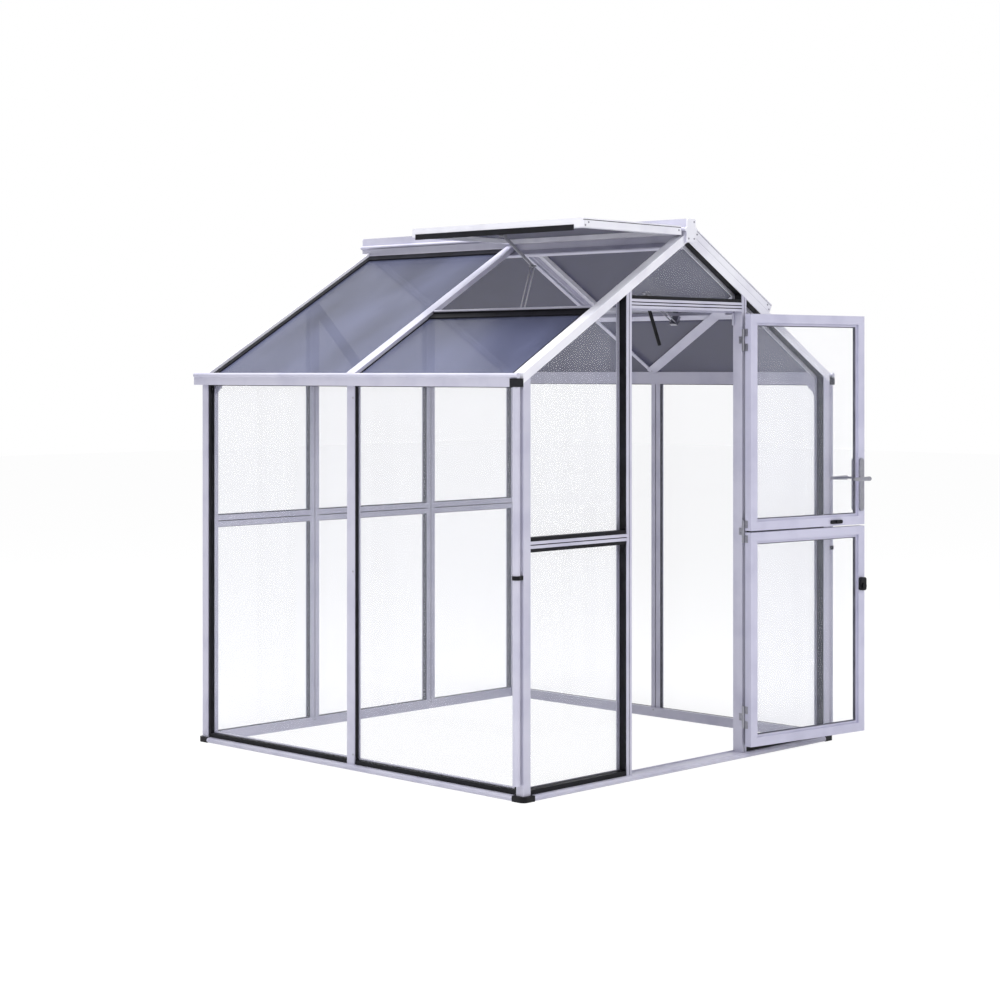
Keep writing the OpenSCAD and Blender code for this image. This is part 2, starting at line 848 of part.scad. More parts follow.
// Opener of a vent: a foot on the sill, twin lower arms, and a flat arm to the vent's bottom rail
module opener(open) {
    pivot = slope_point(vent_sill_s - foot_l / 2, -foot_pivot);
    head = vent_point(head_x + head_l / 2, -head_h / 2, open);
    elbow = opener_elbow(open);
    twin = [0, opener_gap, 0];
    foot_w = 2 * opener_gap + 14;
    on_slope() translate([vent_sill_s - foot_l, opener_y - foot_w / 2, -foot_d])
        cube([foot_l, foot_w, foot_d - roof_lip - seat]);
    for (s = [-1, 1])
        rod(pivot + s * twin, elbow + s * twin, arm_r);
    rod(elbow - 1.6 * twin, elbow + 1.6 * twin, arm_r + 1);
    flat_link(elbow, head, link_w, link_t);
    in_vent(open) translate([head_x, opener_y - head_l / 2, -head_h])
        cube([head_l, head_l, head_h]);
}

module vent_openers() {
    color("dimgray") {
        opener(0);
        mirror([1, 0, 0]) opener(vent_open);
    }
}

// Black cylinder that hangs from the elbow of the closed vent's opener
module opener_cylinder() {
    cylinder_l = 226;
    cylinder_r = 8;
    lean = 24;
    hang = 1.2;
    top = opener_elbow(0) - [0, 0, link_w / 2 + cylinder_r + hang];
    color("black") {
        rod(top, top + cylinder_l * [sin(lean), 0, -cos(lean)], cylinder_r);
        translate(top) sphere(r = cylinder_r);
    }
}

// Panes of a gable's outer bays: one below the middle rail, one above it
module outer_panes() {
    x0 = post_x + post_web / 2 + glass_gap;
    x1 = half_w - corner_web - glass_gap;
    rail_edge = rail_face / 2 - strip_t + glass_gap;
    translate([0, gable_glass_v + glass_t, 0]) rotate([90, 0, 0]) linear_extrude(glass_t) both_sides() {
        translate([x0, sill_h + glass_gap]) square([x1 - x0, rail_z - rail_edge - sill_h - glass_gap]);
        polygon(bay(x0, x1, rail_z + rail_edge, rafter_web + glass_gap));
    }
}

// Pane of a gable's middle bay above z0
module peak_pane(z0) {
    x = post_x - post_web / 2 - glass_gap;
    difference() {
        translate([0, gable_glass_v + glass_t, 0]) rotate([90, 0, 0]) linear_extrude(glass_t)
            polygon(peak(x, z0 + glass_gap, rafter_web + glass_gap));
        ridge_notch(glass_gap);
    }
}

module front_glass() {
    color([0.9, 0.95, 0.95, 0.3]) at_front() {
        outer_panes();
        peak_pane(lintel_z + lintel_h - strip_t);
    }
}

module back_glass() {
    x = post_x - post_web / 2 - glass_gap;
    rail_edge = rail_face / 2 - strip_t + glass_gap;
    color([0.9, 0.95, 0.95, 0.3]) at_back() {
        outer_panes();
        peak_pane(rail_z + rail_edge - glass_gap);
        translate([-x, gable_glass_v, sill_h + glass_gap])
            cube([2 * x, glass_t, rail_z - rail_edge - sill_h - glass_gap]);
    }
}

// Two full-height panes of a side wall
module side_panes() {
    u0 = side_web / 2 + glass_gap;
    u1 = length / 2 - corner_web - glass_gap;
    both_sides() translate([u0, side_glass_v, sill_h + glass_gap])
        cube([u1 - u0, glass_t, gutter_z - sill_h - 2 * glass_gap]);
}

module side_glass() {
    color([0.9, 0.95, 0.95, 0.3]) {
        at_left() side_panes();
        at_right() side_panes();
    }
}

// Distance from the middle of a point down the slope by s, at depth t
function slope_x(s, t) = s * cos(pitch) - t * sin(pitch);

// Roof panes of the right slope: a full one behind, a short one below the vent
module roof_panes() {
    y0 = y_front + frame_d + glass_gap;
    ym = mid_web + glass_gap;
    x1 = half_w - glass_gap;
    x_vent = slope_x(vent_sill_end + glass_gap, roof_glass_t0) + glass_gap;
    under = roof_glass_t0 + glass_t;
    sweep_y(y0, y_mid - ym) polygon(band(x_vent, x1, roof_glass_t0, under));
    sweep_y(y_mid + ym, y_back - frame_d - glass_gap)
        polygon(band(ridge_hw + glass_gap, x1, roof_glass_t0, under));
}

module roof_glass() {
    color([0.3, 0.3, 0.33, 0.6]) both_sides() roof_panes();
}

// Black strip round an outline, from the bars' webs inward, in a gable's plane
module gable_strip() {
    translate([0, gable_glass_v, 0]) rotate([90, 0, 0]) linear_extrude(gable_glass_v - flange_t) difference() {
        children(0);
        children(1);
    }
}

// Black strips round the two panes of a gable's outer bays
module outer_strips() {
    x0 = post_x + post_web / 2;
    x1 = half_w - corner_web;
    edge = rail_face / 2 - strip_t;
    inner = rail_face / 2 + rail_strip;
    both_sides() {
        gable_strip() {
            translate([x0, sill_h]) square([x1 - x0, rail_z - edge - sill_h]);
            translate([x0 + strip_t, upstand_h - 2])
                square([x1 - x0 - 2 * strip_t, rail_z - inner - upstand_h + 2]);
        }
        gable_strip() {
            polygon(bay(x0, x1, rail_z + edge, rafter_web + seat));
            polygon(bay(x0 + strip_t, x1 - strip_t, rail_z + inner, rafter_face));
        }
    }
}

// Black strip round the middle bay's pane above a bar with its top face at z0
module peak_strip(z0, z1) {
    x = post_x - post_web / 2;
    difference() {
        gable_strip() {
            polygon(peak(x, z0, rafter_web + seat));
            polygon(peak(x - strip_t, z1, rafter_face));
        }
        ridge_notch(seat);
    }
}

// Black strips round the two panes of a side wall, wider beside the corner posts
module side_strips() {
    u0 = side_web / 2;
    u1 = length / 2 - corner_web;
    z1 = gutter_z;
    both_sides() translate([0, side_glass_v, 0]) rotate([90, 0, 0])
        linear_extrude(side_glass_v - flange_t) difference() {
            translate([u0, sill_h]) square([u1 - u0, z1 - sill_h]);
            translate([u0 + strip_t, upstand_h - 2])
                square([u1 - u0 - strip_t - corner_strip, z1 - strip_t - upstand_h + 2]);
        }
}

module wall_strips() {
    x = post_x - post_web / 2;
    edge = rail_face / 2 - strip_t;
    inner = rail_face / 2 + rail_strip;
    lintel_top = lintel_z + lintel_h;
    color("black") {
        at_front() {
            outer_strips();
            peak_strip(lintel_top - strip_t, lintel_top + rail_strip);
        }
        at_back() {
            outer_strips();
            peak_strip(rail_z + edge, rail_z + inner);
            gable_strip() {
                translate([-x, sill_h]) square([2 * x, rail_z - edge - sill_h]);
                translate([strip_t - x, upstand_h - 2])
                    square([2 * (x - strip_t), rail_z - inner - upstand_h + 2]);
            }
        }
        at_left() side_strips();
        at_right() side_strips();
    }
}

// Black strips on a pane of the right slope: along its upper edge, its gable edge and the middle rafter.
// They start at s0 and lie in the bay behind the middle rafter, or in the bay before it
module pane_strips(s0, behind) {
    f = mid_rafter_face / 2 + seat;
    bay_w = length / 2 - frame_d - f - seat;
    foot = 4;
    s1 = (half_w - glass_gap + (roof_glass_t0 - roof_strip_t) * sin(pitch)) / cos(pitch);
    run = s1 - s0 - top_strip - seat;
    on_slope() translate([s0, y_mid, seat - roof_glass_t0]) mirror([0, behind ? 0 : 1, 0]) translate([0, f, 0]) {
        cube([top_strip, bay_w, roof_strip_t]);
        if (!behind) cube([strip_t, bay_w, roof_glass_t0 - vent_sill_top - foot]);
        translate([top_strip + seat, 0, 0]) cube([run, foot, foot]);
        translate([top_strip + seat, bay_w - gable_strip_w, 0]) cube([run, gable_strip_w, roof_strip_t]);
    }
}

module roof_strips() {
    at_ridge = (ridge_hw + roof_glass_t0 * sin(pitch)) / cos(pitch) + seat;
    color("black") both_sides() {
        pane_strips(at_ridge, true);
        pane_strips(vent_sill_end + seat, false);
    }
}

// Children modelled closed, shown at the angle at which the leaves stand open
module swung() {
    translate([hinge_x, hinge_y, 0]) rotate(door_open) translate([-hinge_x, -hinge_y, 0]) children();
}

// Three-knuckle hinge: the post's plate, middle knuckle and the pin
module post_hinge(z) {
    translate([hinge_x, hinge_y, z]) {
        translate([0, 0, -third / 2 + seat]) cylinder(d = knuckle_d, h = third - 2 * seat);
        translate([0, 0, -hinge_h / 2]) cylinder(r = pin_r, h = hinge_h);
    }
    translate([doorway_x - leaf_plate_t, hinge_y, z - third / 2 + seat])
        cube([leaf_plate_t, leaf_plate_d, third - 2 * seat]);
}

module post_hinges() {
    color("silver") for (z = [hinge_top, hinge_mid, hinge_low])
        post_hinge(z);
}

// A leaf's plate and knuckle, from z upward by a third of the hinge
module leaf_hinge(z) {
    difference() {
        union() {
            translate([hinge_x, hinge_y, z]) cylinder(d = knuckle_d, h = third);
            translate([door_x1, hinge_y, z]) cube([leaf_plate_t, leaf_plate_d, third]);
        }
        translate([hinge_x, hinge_y, z - cut]) cylinder(r = pin_r + running, h = third + 2 * cut);
    }
}

module upper_door_hinges() {
    color("silver") swung() {
        leaf_hinge(hinge_top + third / 2);
        leaf_hinge(hinge_top - 1.5 * third);
        leaf_hinge(hinge_mid + third / 2);
    }
}

module lower_door_hinges() {
    color("silver") swung() {
        leaf_hinge(hinge_mid - 1.5 * third);
        leaf_hinge(hinge_low + third / 2);
        leaf_hinge(hinge_low - 1.5 * third);
    }
}

// Section of a leaf's stile: x from its outer edge to the pane, with a step on both faces
module stile_section() {
    square([door_rail - leaf_bead, door_t]);
    translate([0, leaf_step]) square([door_rail, door_t - 2 * leaf_step]);
}

// Stiles of a leaf between two heights
module leaf_stiles(z0, z1) {
    translate([0, door_y, z0]) linear_extrude(z1 - z0) {
        translate([door_x0, 0]) stile_section();
        translate([door_x1, 0]) mirror([1, 0]) stile_section();
    }
}

// Rail along x from the origin, z from its outer edge to the pane; its faces lap over the stiles' steps
module leaf_rail(w) {
    translate([0, leaf_step, 0]) cube([w, door_t - 2 * leaf_step, door_rail]);
    for (y = [0, door_t - leaf_step])
        translate([-leaf_bead, y, 0]) cube([w + 2 * leaf_bead, leaf_step, door_rail - leaf_bead]);
}

// Rails of a leaf, between its stiles
module leaf_rails(z0, z1) {
    w = door_w - 2 * door_rail;
    translate([door_x0 + door_rail, door_y, 0]) {
        translate([0, 0, z0]) leaf_rail(w);
        translate([0, 0, z1]) mirror([0, 0, 1]) leaf_rail(w);
    }
}

// Pane of a leaf, in the middle of the frame's thickness
module leaf_pane(z0, z1) {
    translate([door_x0 + door_rail, door_y + (door_t - glass_t) / 2, z0 + door_rail])
        cube([door_w - 2 * door_rail, glass_t, z1 - z0 - 2 * door_rail]);
}

module upper_door_stiles() {
    color("white") swung() difference() {
        leaf_stiles(upper_z0, door_z1);
        translate([lever_x, door_y - cut, lever_z]) rotate([-90, 0, 0])
            cylinder(r = spindle_r + running, h = door_t + 2 * cut);
    }
}

module upper_door_rails() {
    color("white") swung() leaf_rails(upper_z0, door_z1);
}

module upper_door_glass() {
    color([0.9, 0.95, 0.95, 0.3]) swung() leaf_pane(upper_z0, door_z1);
}

module lower_door_stiles() {
    color("white") swung() leaf_stiles(door_z0, leaf_split);
}

module lower_door_rails() {
    color("white") swung() leaf_rails(door_z0, leaf_split);
}

module lower_door_glass() {
    color([0.9, 0.95, 0.95, 0.3]) swung() leaf_pane(door_z0, leaf_split);
}

// Long round-ended handle plates on both faces of the upper leaf's closing stile
module handle_plates() {
    end_r = handle_plate_w / 2;
    z0 = lever_z - 0.62 * plate_l;
    color("silver") swung() for (y = [door_y, door_y + door_t + handle_plate_t])
        translate([lever_x, y, 0]) rotate([90, 0, 0]) linear_extrude(handle_plate_t) difference() {
            union() {
                translate([-end_r, z0 + end_r]) square([handle_plate_w, plate_l - handle_plate_w]);
                for (z = [z0 + end_r, z0 + plate_l - end_r])
                    translate([0, z]) circle(r = end_r);
            }
            translate([0, lever_z]) circle(r = spindle_r + running);
        }
}

// Spindle with a tapered lever on each side of the door, pointing to the hinges
module handle_levers() {
    thick = 20;
    thin = 14;
    y0 = door_y - lever_out;
    y1 = door_y + door_t + lever_out;
    color("silver") swung() translate([lever_x, 0, lever_z]) {
        translate([0, y0, 0]) rotate([-90, 0, 0]) cylinder(r = spindle_r, h = y1 - y0);
        for (y = [y0, y1]) {
            translate([0, y, 0]) sphere(d = thick);
            translate([0, y, 0]) rotate([0, 90, 0]) cylinder(d1 = thick, d2 = thin, h = lever_l);
            translate([lever_l, y, 0]) sphere(d = thin);
        }
    }
}

// Plate with round corners: x along the door, y up, centred
module round_plate(w, h, r) {
    square([w - 2 * r, h], center = true);
    square([w, h - 2 * r], center = true);
    for (x = [-1, 1], y = [-1, 1])
        translate([x * (w / 2 - r), y * (h / 2 - r)]) circle(r = r);
}

// Children as an outline on the inner face of the closed leaf, raised by a height
module on_leaf(x, z, h) {
    translate([x, door_y + door_t + h, z]) rotate([90, 0, 0]) linear_extrude(h) children();
}

// Black sliding catch that ties the upper leaf to the lower one, with a finger ridge
module leaf_catch() {
    catch_w = 70;
    catch_h = 16;
    catch_t = 8;
    ridge_w = 14;
    x = door_x0 + 0.26 * door_w;
    z = upper_z0 + 17;
    color("black") swung() {
        on_leaf(x, z, catch_t) round_plate(catch_w, catch_h, catch_h / 2 - 1);
        on_leaf(x, z, catch_t + 5) round_plate(ridge_w, catch_h - 4, 3);
    }
}

// Black lock case on the lower leaf's closing stile, with a raised round turn
module lower_door_lock() {
    lock_w = 34;
    lock_h = 56;
    lock_t = 16;
    turn_d = 24;
    x = door_x0 + 4 + lock_w / 2;
    color("black") swung() {
        on_leaf(x, lock_z, lock_t) round_plate(lock_w, lock_h, 9);
        on_leaf(x, lock_z - 8, lock_t + 6) circle(d = turn_d);
    }
}

front_sill();
back_sill();
side_sills();
sill_corners();
corner_posts();
door_posts();
back_posts();
side_posts();
mid_rails();
door_lintel();
gable_rafters();
mid_rafters();
ridge();
gutters();
gutter_outlets();
downpipes();
pipe_clips();
eaves_gussets();
vent_sills();
roof_braces();
vent_sides();
vent_rails();
vent_glass();
vent_seals();
vent_openers();
opener_cylinder();
front_glass();
back_glass();
side_glass();
roof_glass();
wall_strips();
roof_strips();
post_hinges();
upper_door_stiles();
upper_door_rails();
upper_door_glass();
upper_door_hinges();
handle_plates();
handle_levers();
leaf_catch();
lower_door_stiles();
lower_door_rails();
lower_door_glass();
lower_door_hinges();
lower_door_lock();
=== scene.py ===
"""Dressed model of a glass greenhouse: finishes, small fittings, light and camera.

Lengths are in metres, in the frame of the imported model: the origin is the middle of the front
sill's underside, +Z is up and +Y runs from the door into the building.
"""

from __future__ import annotations

import json
import logging
import math
from abc import ABC, abstractmethod
from dataclasses import dataclass, field
from enum import Enum
from typing import Any

import bmesh
import bpy
from mathutils import Matrix, Vector


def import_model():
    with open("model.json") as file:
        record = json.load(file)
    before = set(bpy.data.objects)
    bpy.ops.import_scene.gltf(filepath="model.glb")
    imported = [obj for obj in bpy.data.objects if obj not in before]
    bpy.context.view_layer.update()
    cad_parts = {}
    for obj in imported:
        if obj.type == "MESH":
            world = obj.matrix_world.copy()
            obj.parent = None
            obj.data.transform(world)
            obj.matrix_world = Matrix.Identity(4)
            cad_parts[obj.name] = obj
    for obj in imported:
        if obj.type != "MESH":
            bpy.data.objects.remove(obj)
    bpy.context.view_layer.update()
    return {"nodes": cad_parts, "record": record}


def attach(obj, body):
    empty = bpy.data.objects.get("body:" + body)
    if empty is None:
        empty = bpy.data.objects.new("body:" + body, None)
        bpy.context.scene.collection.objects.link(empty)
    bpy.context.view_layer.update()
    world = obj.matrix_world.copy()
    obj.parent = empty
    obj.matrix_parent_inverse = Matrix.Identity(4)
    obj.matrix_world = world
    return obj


LOG = logging.getLogger("greenhouse")
MM = 0.001
WELD = 0.01 * MM
WHITE = (1.0, 1.0, 1.0, 1.0)
RIGHT_AND_LEFT = (1, -1)


class Body(str, Enum):
    """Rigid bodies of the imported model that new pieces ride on."""

    HOUSE = "house"
    UPPER_DOOR = "upper_door"
    LOWER_DOOR = "lower_door"


class Slot(str, Enum):
    """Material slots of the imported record."""

    FRAME = "frame_aluminium"
    DOOR = "door_aluminium"
    PLASTIC = "black_plastic"
    RUBBER = "glazing_rubber"
    CLEAR = "clear_glass"
    SMOKED = "smoked_glass"
    STEEL = "hinge_metal"


def srgb(code: str) -> tuple[float, float, float, float]:
    """Turn an sRGB hex colour into linear RGBA.

    Args:
        code: Six hex digits, with or without a leading hash.

    Returns:
        Linear red, green, blue and an alpha of 1.
    """
    digits = code.lstrip("#")
    channels = [int(digits[i : i + 2], 16) / 255 for i in (0, 2, 4)]
    linear = [c / 12.92 if c <= 0.04045 else ((c + 0.055) / 1.055) ** 2.4 for c in channels]
    return (linear[0], linear[1], linear[2], 1.0)


def add_node(
    tree: bpy.types.NodeTree,
    kind: str,
    inputs: dict[str | int, Any] | None = None,
    **settings: Any,
) -> bpy.types.Node:
    """Add a node with its settings, and set or link its inputs.

    Args:
        tree: Node tree that takes the node.
        kind: Blender's node type.
        inputs: Values or output sockets for the node's inputs, by name or index.
        **settings: Attributes set on the node.

    Returns:
        The new node.
    """
    node = tree.nodes.new(kind)
    for key, value in settings.items():
        setattr(node, key, value)
    for key, value in (inputs or {}).items():
        if isinstance(value, bpy.types.NodeSocket):
            tree.links.new(value, node.inputs[key])
        else:
            node.inputs[key].default_value = value
    return node


def add_noise(
    tree: bpy.types.NodeTree, place: bpy.types.NodeSocket, size: float, detail: float
) -> bpy.types.NodeSocket:
    """Add soft noise.

    Args:
        tree: Node tree that takes it.
        place: Socket with the coordinates.
        size: Size of its patches.
        detail: Number of finer layers.

    Returns:
        The socket with its value.
    """
    noise = add_node(
        tree, "ShaderNodeTexNoise", {"Vector": place, "Scale": 1 / size, "Detail": detail}
    )
    return noise.outputs[0]


def add_ramp(
    tree: bpy.types.NodeTree,
    value: bpy.types.NodeSocket,
    low: tuple[float, str],
    high: tuple[float, str],
) -> bpy.types.NodeSocket:
    """Add a blend between two colours.

    Args:
        tree: Node tree that takes it.
        value: Socket that drives it.
        low: Value and hex colour of its lower stop.
        high: Value and hex colour of its upper stop.

    Returns:
        The socket with its colour.
    """
    ramp = add_node(tree, "ShaderNodeValToRGB", {"Fac": value})
    for stop, (position, code) in zip(ramp.color_ramp.elements, (low, high)):
        stop.position = position
        stop.color = srgb(code)
    return ramp.outputs["Color"]


def add_bump(
    tree: bpy.types.NodeTree, height: bpy.types.NodeSocket, strength: float, depth: float
) -> bpy.types.NodeSocket:
    """Add a bump.

    Args:
        tree: Node tree that takes it.
        height: Socket with the height.
        strength: Share of the bump that shows.
        depth: Depth of the relief.

    Returns:
        The socket with the bumped normal.
    """
    bump = add_node(
        tree, "ShaderNodeBump", {"Height": height, "Strength": strength, "Distance": depth}
    )
    return bump.outputs["Normal"]


@dataclass(frozen=True)
class Finish(ABC):
    """A procedural surface, made once and shared by the pieces that carry it."""

    name: str

    def material(self) -> bpy.types.Material:
        """Return the finish's material, which is built on first use."""
        found = bpy.data.materials.get(self.name)
        if found is not None:
            return found
        made = bpy.data.materials.new(self.name)
        made.use_nodes = True
        self.shade(made.node_tree, made.node_tree.nodes["Principled BSDF"])
        return made

    @abstractmethod
    def shade(self, tree: bpy.types.NodeTree, shader: bpy.types.Node) -> None:
        """Add the finish's nodes and set the shader.

        Args:
            tree: The material's node tree.
            shader: Its Principled shader.
        """


@dataclass(frozen=True)
class SatinAluminium(Finish):
    """Extruded aluminium, etched and anodised in a pale silver.

    The etch gives soft, wide reflections, and the skin varies a little in tone along a bar.
    """

    pale: str = "#bdbccc"
    pale_at: float = 0.55
    deep: str = "#b0afc2"
    deep_at: float = 0.32
    metallic: float = 0.2
    smooth: float = 0.3
    rough: float = 0.42
    cloud: float = 160 * MM
    # Real etch pits are near 0.05 mm: drawn coarser so that they show
    etch: float = 0.8 * MM
    etch_depth: float = 0.1 * MM
    etch_shows: float = 0.08

    def shade(self, tree: bpy.types.NodeTree, shader: bpy.types.Node) -> None:
        """Add tone clouds and the etch's fine bump; see the base class for the arguments."""
        place = add_node(tree, "ShaderNodeTexCoord").outputs["Object"]
        cloud = add_noise(tree, place, self.cloud, detail=3.0)
        tone = add_ramp(tree, cloud, (self.deep_at, self.deep), (self.pale_at, self.pale))
        gloss = add_node(
            tree,
            "ShaderNodeMapRange",
            {"Value": cloud, "To Min": self.smooth, "To Max": self.rough},
        )
        pits = add_noise(tree, place, self.etch, detail=2.0)
        bump = add_bump(tree, pits, self.etch_shows, self.etch_depth)
        tree.links.new(tone, shader.inputs["Base Color"])
        tree.links.new(gloss.outputs["Result"], shader.inputs["Roughness"])
        tree.links.new(bump, shader.inputs["Normal"])
        shader.inputs["Metallic"].default_value = self.metallic


@dataclass(frozen=True)
class FloatGlass(Finish):
    """Clear toughened float glass: glossy, with a faint pale bluish matt share that is a painted
    reflection haze.
    """

    tint: str = "#d6daf0"
    clear: float = 0.35
    # Share of each pane that the shader draws, the rest see-through; most of it is matt, a painted
    # reflection haze
    cover: float = 0.07
    roughness: float = 0.02
    ior: float = 1.5
    ripple: float = 90 * MM
    ripple_depth: float = 0.2 * MM
    ripple_shows: float = 0.02

    def shade(self, tree: bpy.types.NodeTree, shader: bpy.types.Node) -> None:
        """Add the faint roller ripple of toughened glass; see the base class for the arguments."""
        place = add_node(tree, "ShaderNodeTexCoord").outputs["Object"]
        wave = add_noise(tree, place, self.ripple, detail=1.0)
        bump = add_bump(tree, wave, self.ripple_shows, self.ripple_depth)
        tree.links.new(bump, shader.inputs["Normal"])
        shader.inputs["Base Color"].default_value = srgb(self.tint)
        shader.inputs["Roughness"].default_value = self.roughness
        shader.inputs["IOR"].default_value = self.ior
        shader.inputs["Transmission Weight"].default_value = self.clear
        shader.inputs["Alpha"].default_value = self.cover


@dataclass(frozen=True)
class SolarGlazing(Finish):
    """Smoke-tinted solar-control glazing: satin grey-blue outside, duller underneath, each face in
    its own tone painted for the light that falls on it.

    Painted reflection pales the outer face in soft streaks that grow toward the eaves.
    """

    # Tone of the outer face; the underside's tone differs from it only as painted light
    outside: str = "#373a4c"
    outside_at: float = 0.4
    outside_roughness: float = 0.26
    # Underside of the same pane in a tone of its own: painted light, for how light falls under the
    # roof
    underside_painted_tone: str = "#45455f"
    # Colour of the painted reflection streaks on the outer face
    underside_roughness: float = 0.45
    streak: str = "#525670"
    streak_at: float = 0.95
    streak_size: float = 625 * MM
    streak_stretch: tuple[float, float, float] = (1.0, 2.5, 1.0)
    # Painted reflection: strongest at the eaves, falling off toward the peak
    eaves: float = 1580 * MM
    eaves_reflection: float = 0.35
    peak: float = 2170 * MM
    peak_reflection: float = -0.1
    ior: float = 1.5
    specular: float = 0.2
    cover: float = 0.78

    def shade(self, tree: bpy.types.NodeTree, shader: bpy.types.Node) -> None:
        """Add the two faces' painted-light tones and the soft streaks of painted reflection; see
        the base class for the arguments.
        """
        outer = self._outer(tree)
        # Painted light: faces that look up take the outer tone with its streaks, the others the
        # underside's tone
        tone = add_node(
            tree,
            "ShaderNodeMix",
            {0: outer, 6: srgb(self.underside_painted_tone), 7: self._painted_reflection(tree)},
            data_type="RGBA",
        )
        gloss = add_node(
            tree,
            "ShaderNodeMapRange",
            {"Value": outer, "To Min": self.underside_roughness, "To Max": self.outside_roughness},
        )
        tree.links.new(tone.outputs[2], shader.inputs["Base Color"])
        tree.links.new(gloss.outputs["Result"], shader.inputs["Roughness"])
        shader.inputs["IOR"].default_value = self.ior
        shader.inputs["Specular IOR Level"].default_value = self.specular
        shader.inputs["Alpha"].default_value = self.cover

    def _outer(self, tree: bpy.types.NodeTree) -> bpy.types.NodeSocket:
        """Add a test that is 1 on faces that look up, and 0 on the others.

        Args:
            tree: The material's node tree.

        Returns:
            The socket with the test's value.
        """
        facing = add_node(tree, "ShaderNodeNewGeometry").outputs["Normal"]
        upward = add_node(tree, "ShaderNodeSeparateXYZ", {0: facing}).outputs["Z"]
        outer = add_node(tree, "ShaderNodeMath", {0: upward, 1: 0.0}, operation="GREATER_THAN")
        return outer.outputs[0]

    def _painted_reflection(self, tree: bpy.types.NodeTree) -> bpy.types.NodeSocket:
        """Add the outer face's tone, with soft streaks of painted reflection.

        Args:
            tree: The material's node tree.

        Returns:
            The socket with the colour.
        """
        place = add_node(tree, "ShaderNodeTexCoord").outputs["Object"]
        stretch = add_node(
            tree, "ShaderNodeMapping", {"Vector": place, "Scale": self.streak_stretch}
        )
        cloud = add_noise(tree, stretch.outputs[0], self.streak_size, detail=3.0)
        height = add_node(tree, "ShaderNodeSeparateXYZ", {0: place}).outputs["Z"]
        reflection_rise = add_node(
            tree,
            "ShaderNodeMapRange",
            {
                "Value": height,
                "From Min": self.eaves,
                "From Max": self.peak,
                "To Min": self.eaves_reflection,
                "To Max": self.peak_reflection,
            },
        )
        # Painted reflection: the streak cloud, raised toward the eaves
        reflection_level = add_node(tree, "ShaderNodeMath", {0: cloud, 1: reflection_rise.outputs["Result"]})
        plain_stop = (self.outside_at, self.outside)
        return add_ramp(tree, reflection_level.outputs[0], plain_stop, (self.streak_at, self.streak))


@dataclass(frozen=True)
class BlackElastomer(Finish):
    """Black EPDM gasket or moulded nylon: near-black, matt, with a fine moulded grain."""

    dark: str = "#0a0a0e"
    dark_at: float = 0.35
    worn: str = "#16161d"
    worn_at: float = 0.75
    roughness: float = 0.55
    specular: float = 0.2
    dust: float = 60 * MM
    grain: float = 1.2 * MM
    grain_depth: float = 0.2 * MM
    grain_shows: float = 0.25

    def shade(self, tree: bpy.types.NodeTree, shader: bpy.types.Node) -> None:
        """Add the moulded grain and a dusty tone; see the base class for the arguments."""
        place = add_node(tree, "ShaderNodeTexCoord").outputs["Object"]
        dust = add_noise(tree, place, self.dust, detail=4.0)
        tone = add_ramp(tree, dust, (self.dark_at, self.dark), (self.worn_at, self.worn))
        pits = add_noise(tree, place, self.grain, detail=2.0)
        bump = add_bump(tree, pits, self.grain_shows, self.grain_depth)
        tree.links.new(tone, shader.inputs["Base Color"])
        tree.links.new(bump, shader.inputs["Normal"])
        shader.inputs["Roughness"].default_value = self.roughness
        shader.inputs["Specular IOR Level"].default_value = self.specular


@dataclass(frozen=True)
class BrushedSteel(Finish):
    """Stainless steel brushed lengthwise: grey metal with fine upright lines."""

    tone: str = "#a9a9b2"
    tone_at: float = 0.7
    line: str = "#84848e"
    line_at: float = 0.3
    roughness: float = 0.32
    # Real brush lines are near 0.1 mm: drawn coarser so that they show
    brush: float = 0.6 * MM
    brush_stretch: tuple[float, float, float] = (1.0, 1.0, 0.03)
    brush_depth: float = 0.05 * MM
    brush_shows: float = 0.1

    def shade(self, tree: bpy.types.NodeTree, shader: bpy.types.Node) -> None:
        """Add the brush lines; see the base class for the arguments."""
        place = add_node(tree, "ShaderNodeTexCoord").outputs["Object"]
        lines = add_node(
            tree, "ShaderNodeMapping", {"Vector": place, "Scale": self.brush_stretch}
        )
        hatch = add_noise(tree, lines.outputs[0], self.brush, detail=2.0)
        tone = add_ramp(tree, hatch, (self.line_at, self.line), (self.tone_at, self.tone))
        bump = add_bump(tree, hatch, self.brush_shows, self.brush_depth)
        tree.links.new(tone, shader.inputs["Base Color"])
        tree.links.new(bump, shader.inputs["Normal"])
        shader.inputs["Metallic"].default_value = 1.0
        shader.inputs["Roughness"].default_value = self.roughness


FINISHES: dict[Slot, Finish] = {
    Slot.FRAME: SatinAluminium("anodised_aluminium_frame"),
    Slot.DOOR: SatinAluminium("anodised_aluminium_door", pale="#bebdd1", deep="#b2b1c7"),
    Slot.PLASTIC: BlackElastomer("moulded_nylon_black", roughness=0.42),
    Slot.RUBBER: BlackElastomer("epdm_gasket_black"),
    Slot.CLEAR: FloatGlass("toughened_float_glass"),
    Slot.SMOKED: SolarGlazing("solar_grey_glazing"),
    Slot.STEEL: BrushedSteel("stainless_steel_brushed"),
}
DOOR_GASKET = BlackElastomer("epdm_gasket_grey", dark="#4a4a55", worn="#63636f")
# Paler copy of the frame's aluminium for the roof bars and ridge caps: painted light for the
# brighter light that falls on them
PAINTED_LIGHT_ROOF_BARS = SatinAluminium("anodised_aluminium_roof_painted_light", pale="#e0e0e8", deep="#d4d3de")
# Gable and vent bars, which look brighter than the posts: a paler copy of the frame's aluminium,
# painted light
NODE_FINISHES: dict[str, Finish] = {
    node: PAINTED_LIGHT_ROOF_BARS for node in ("gable_rafters", "vent_sides", "vent_rails")
}


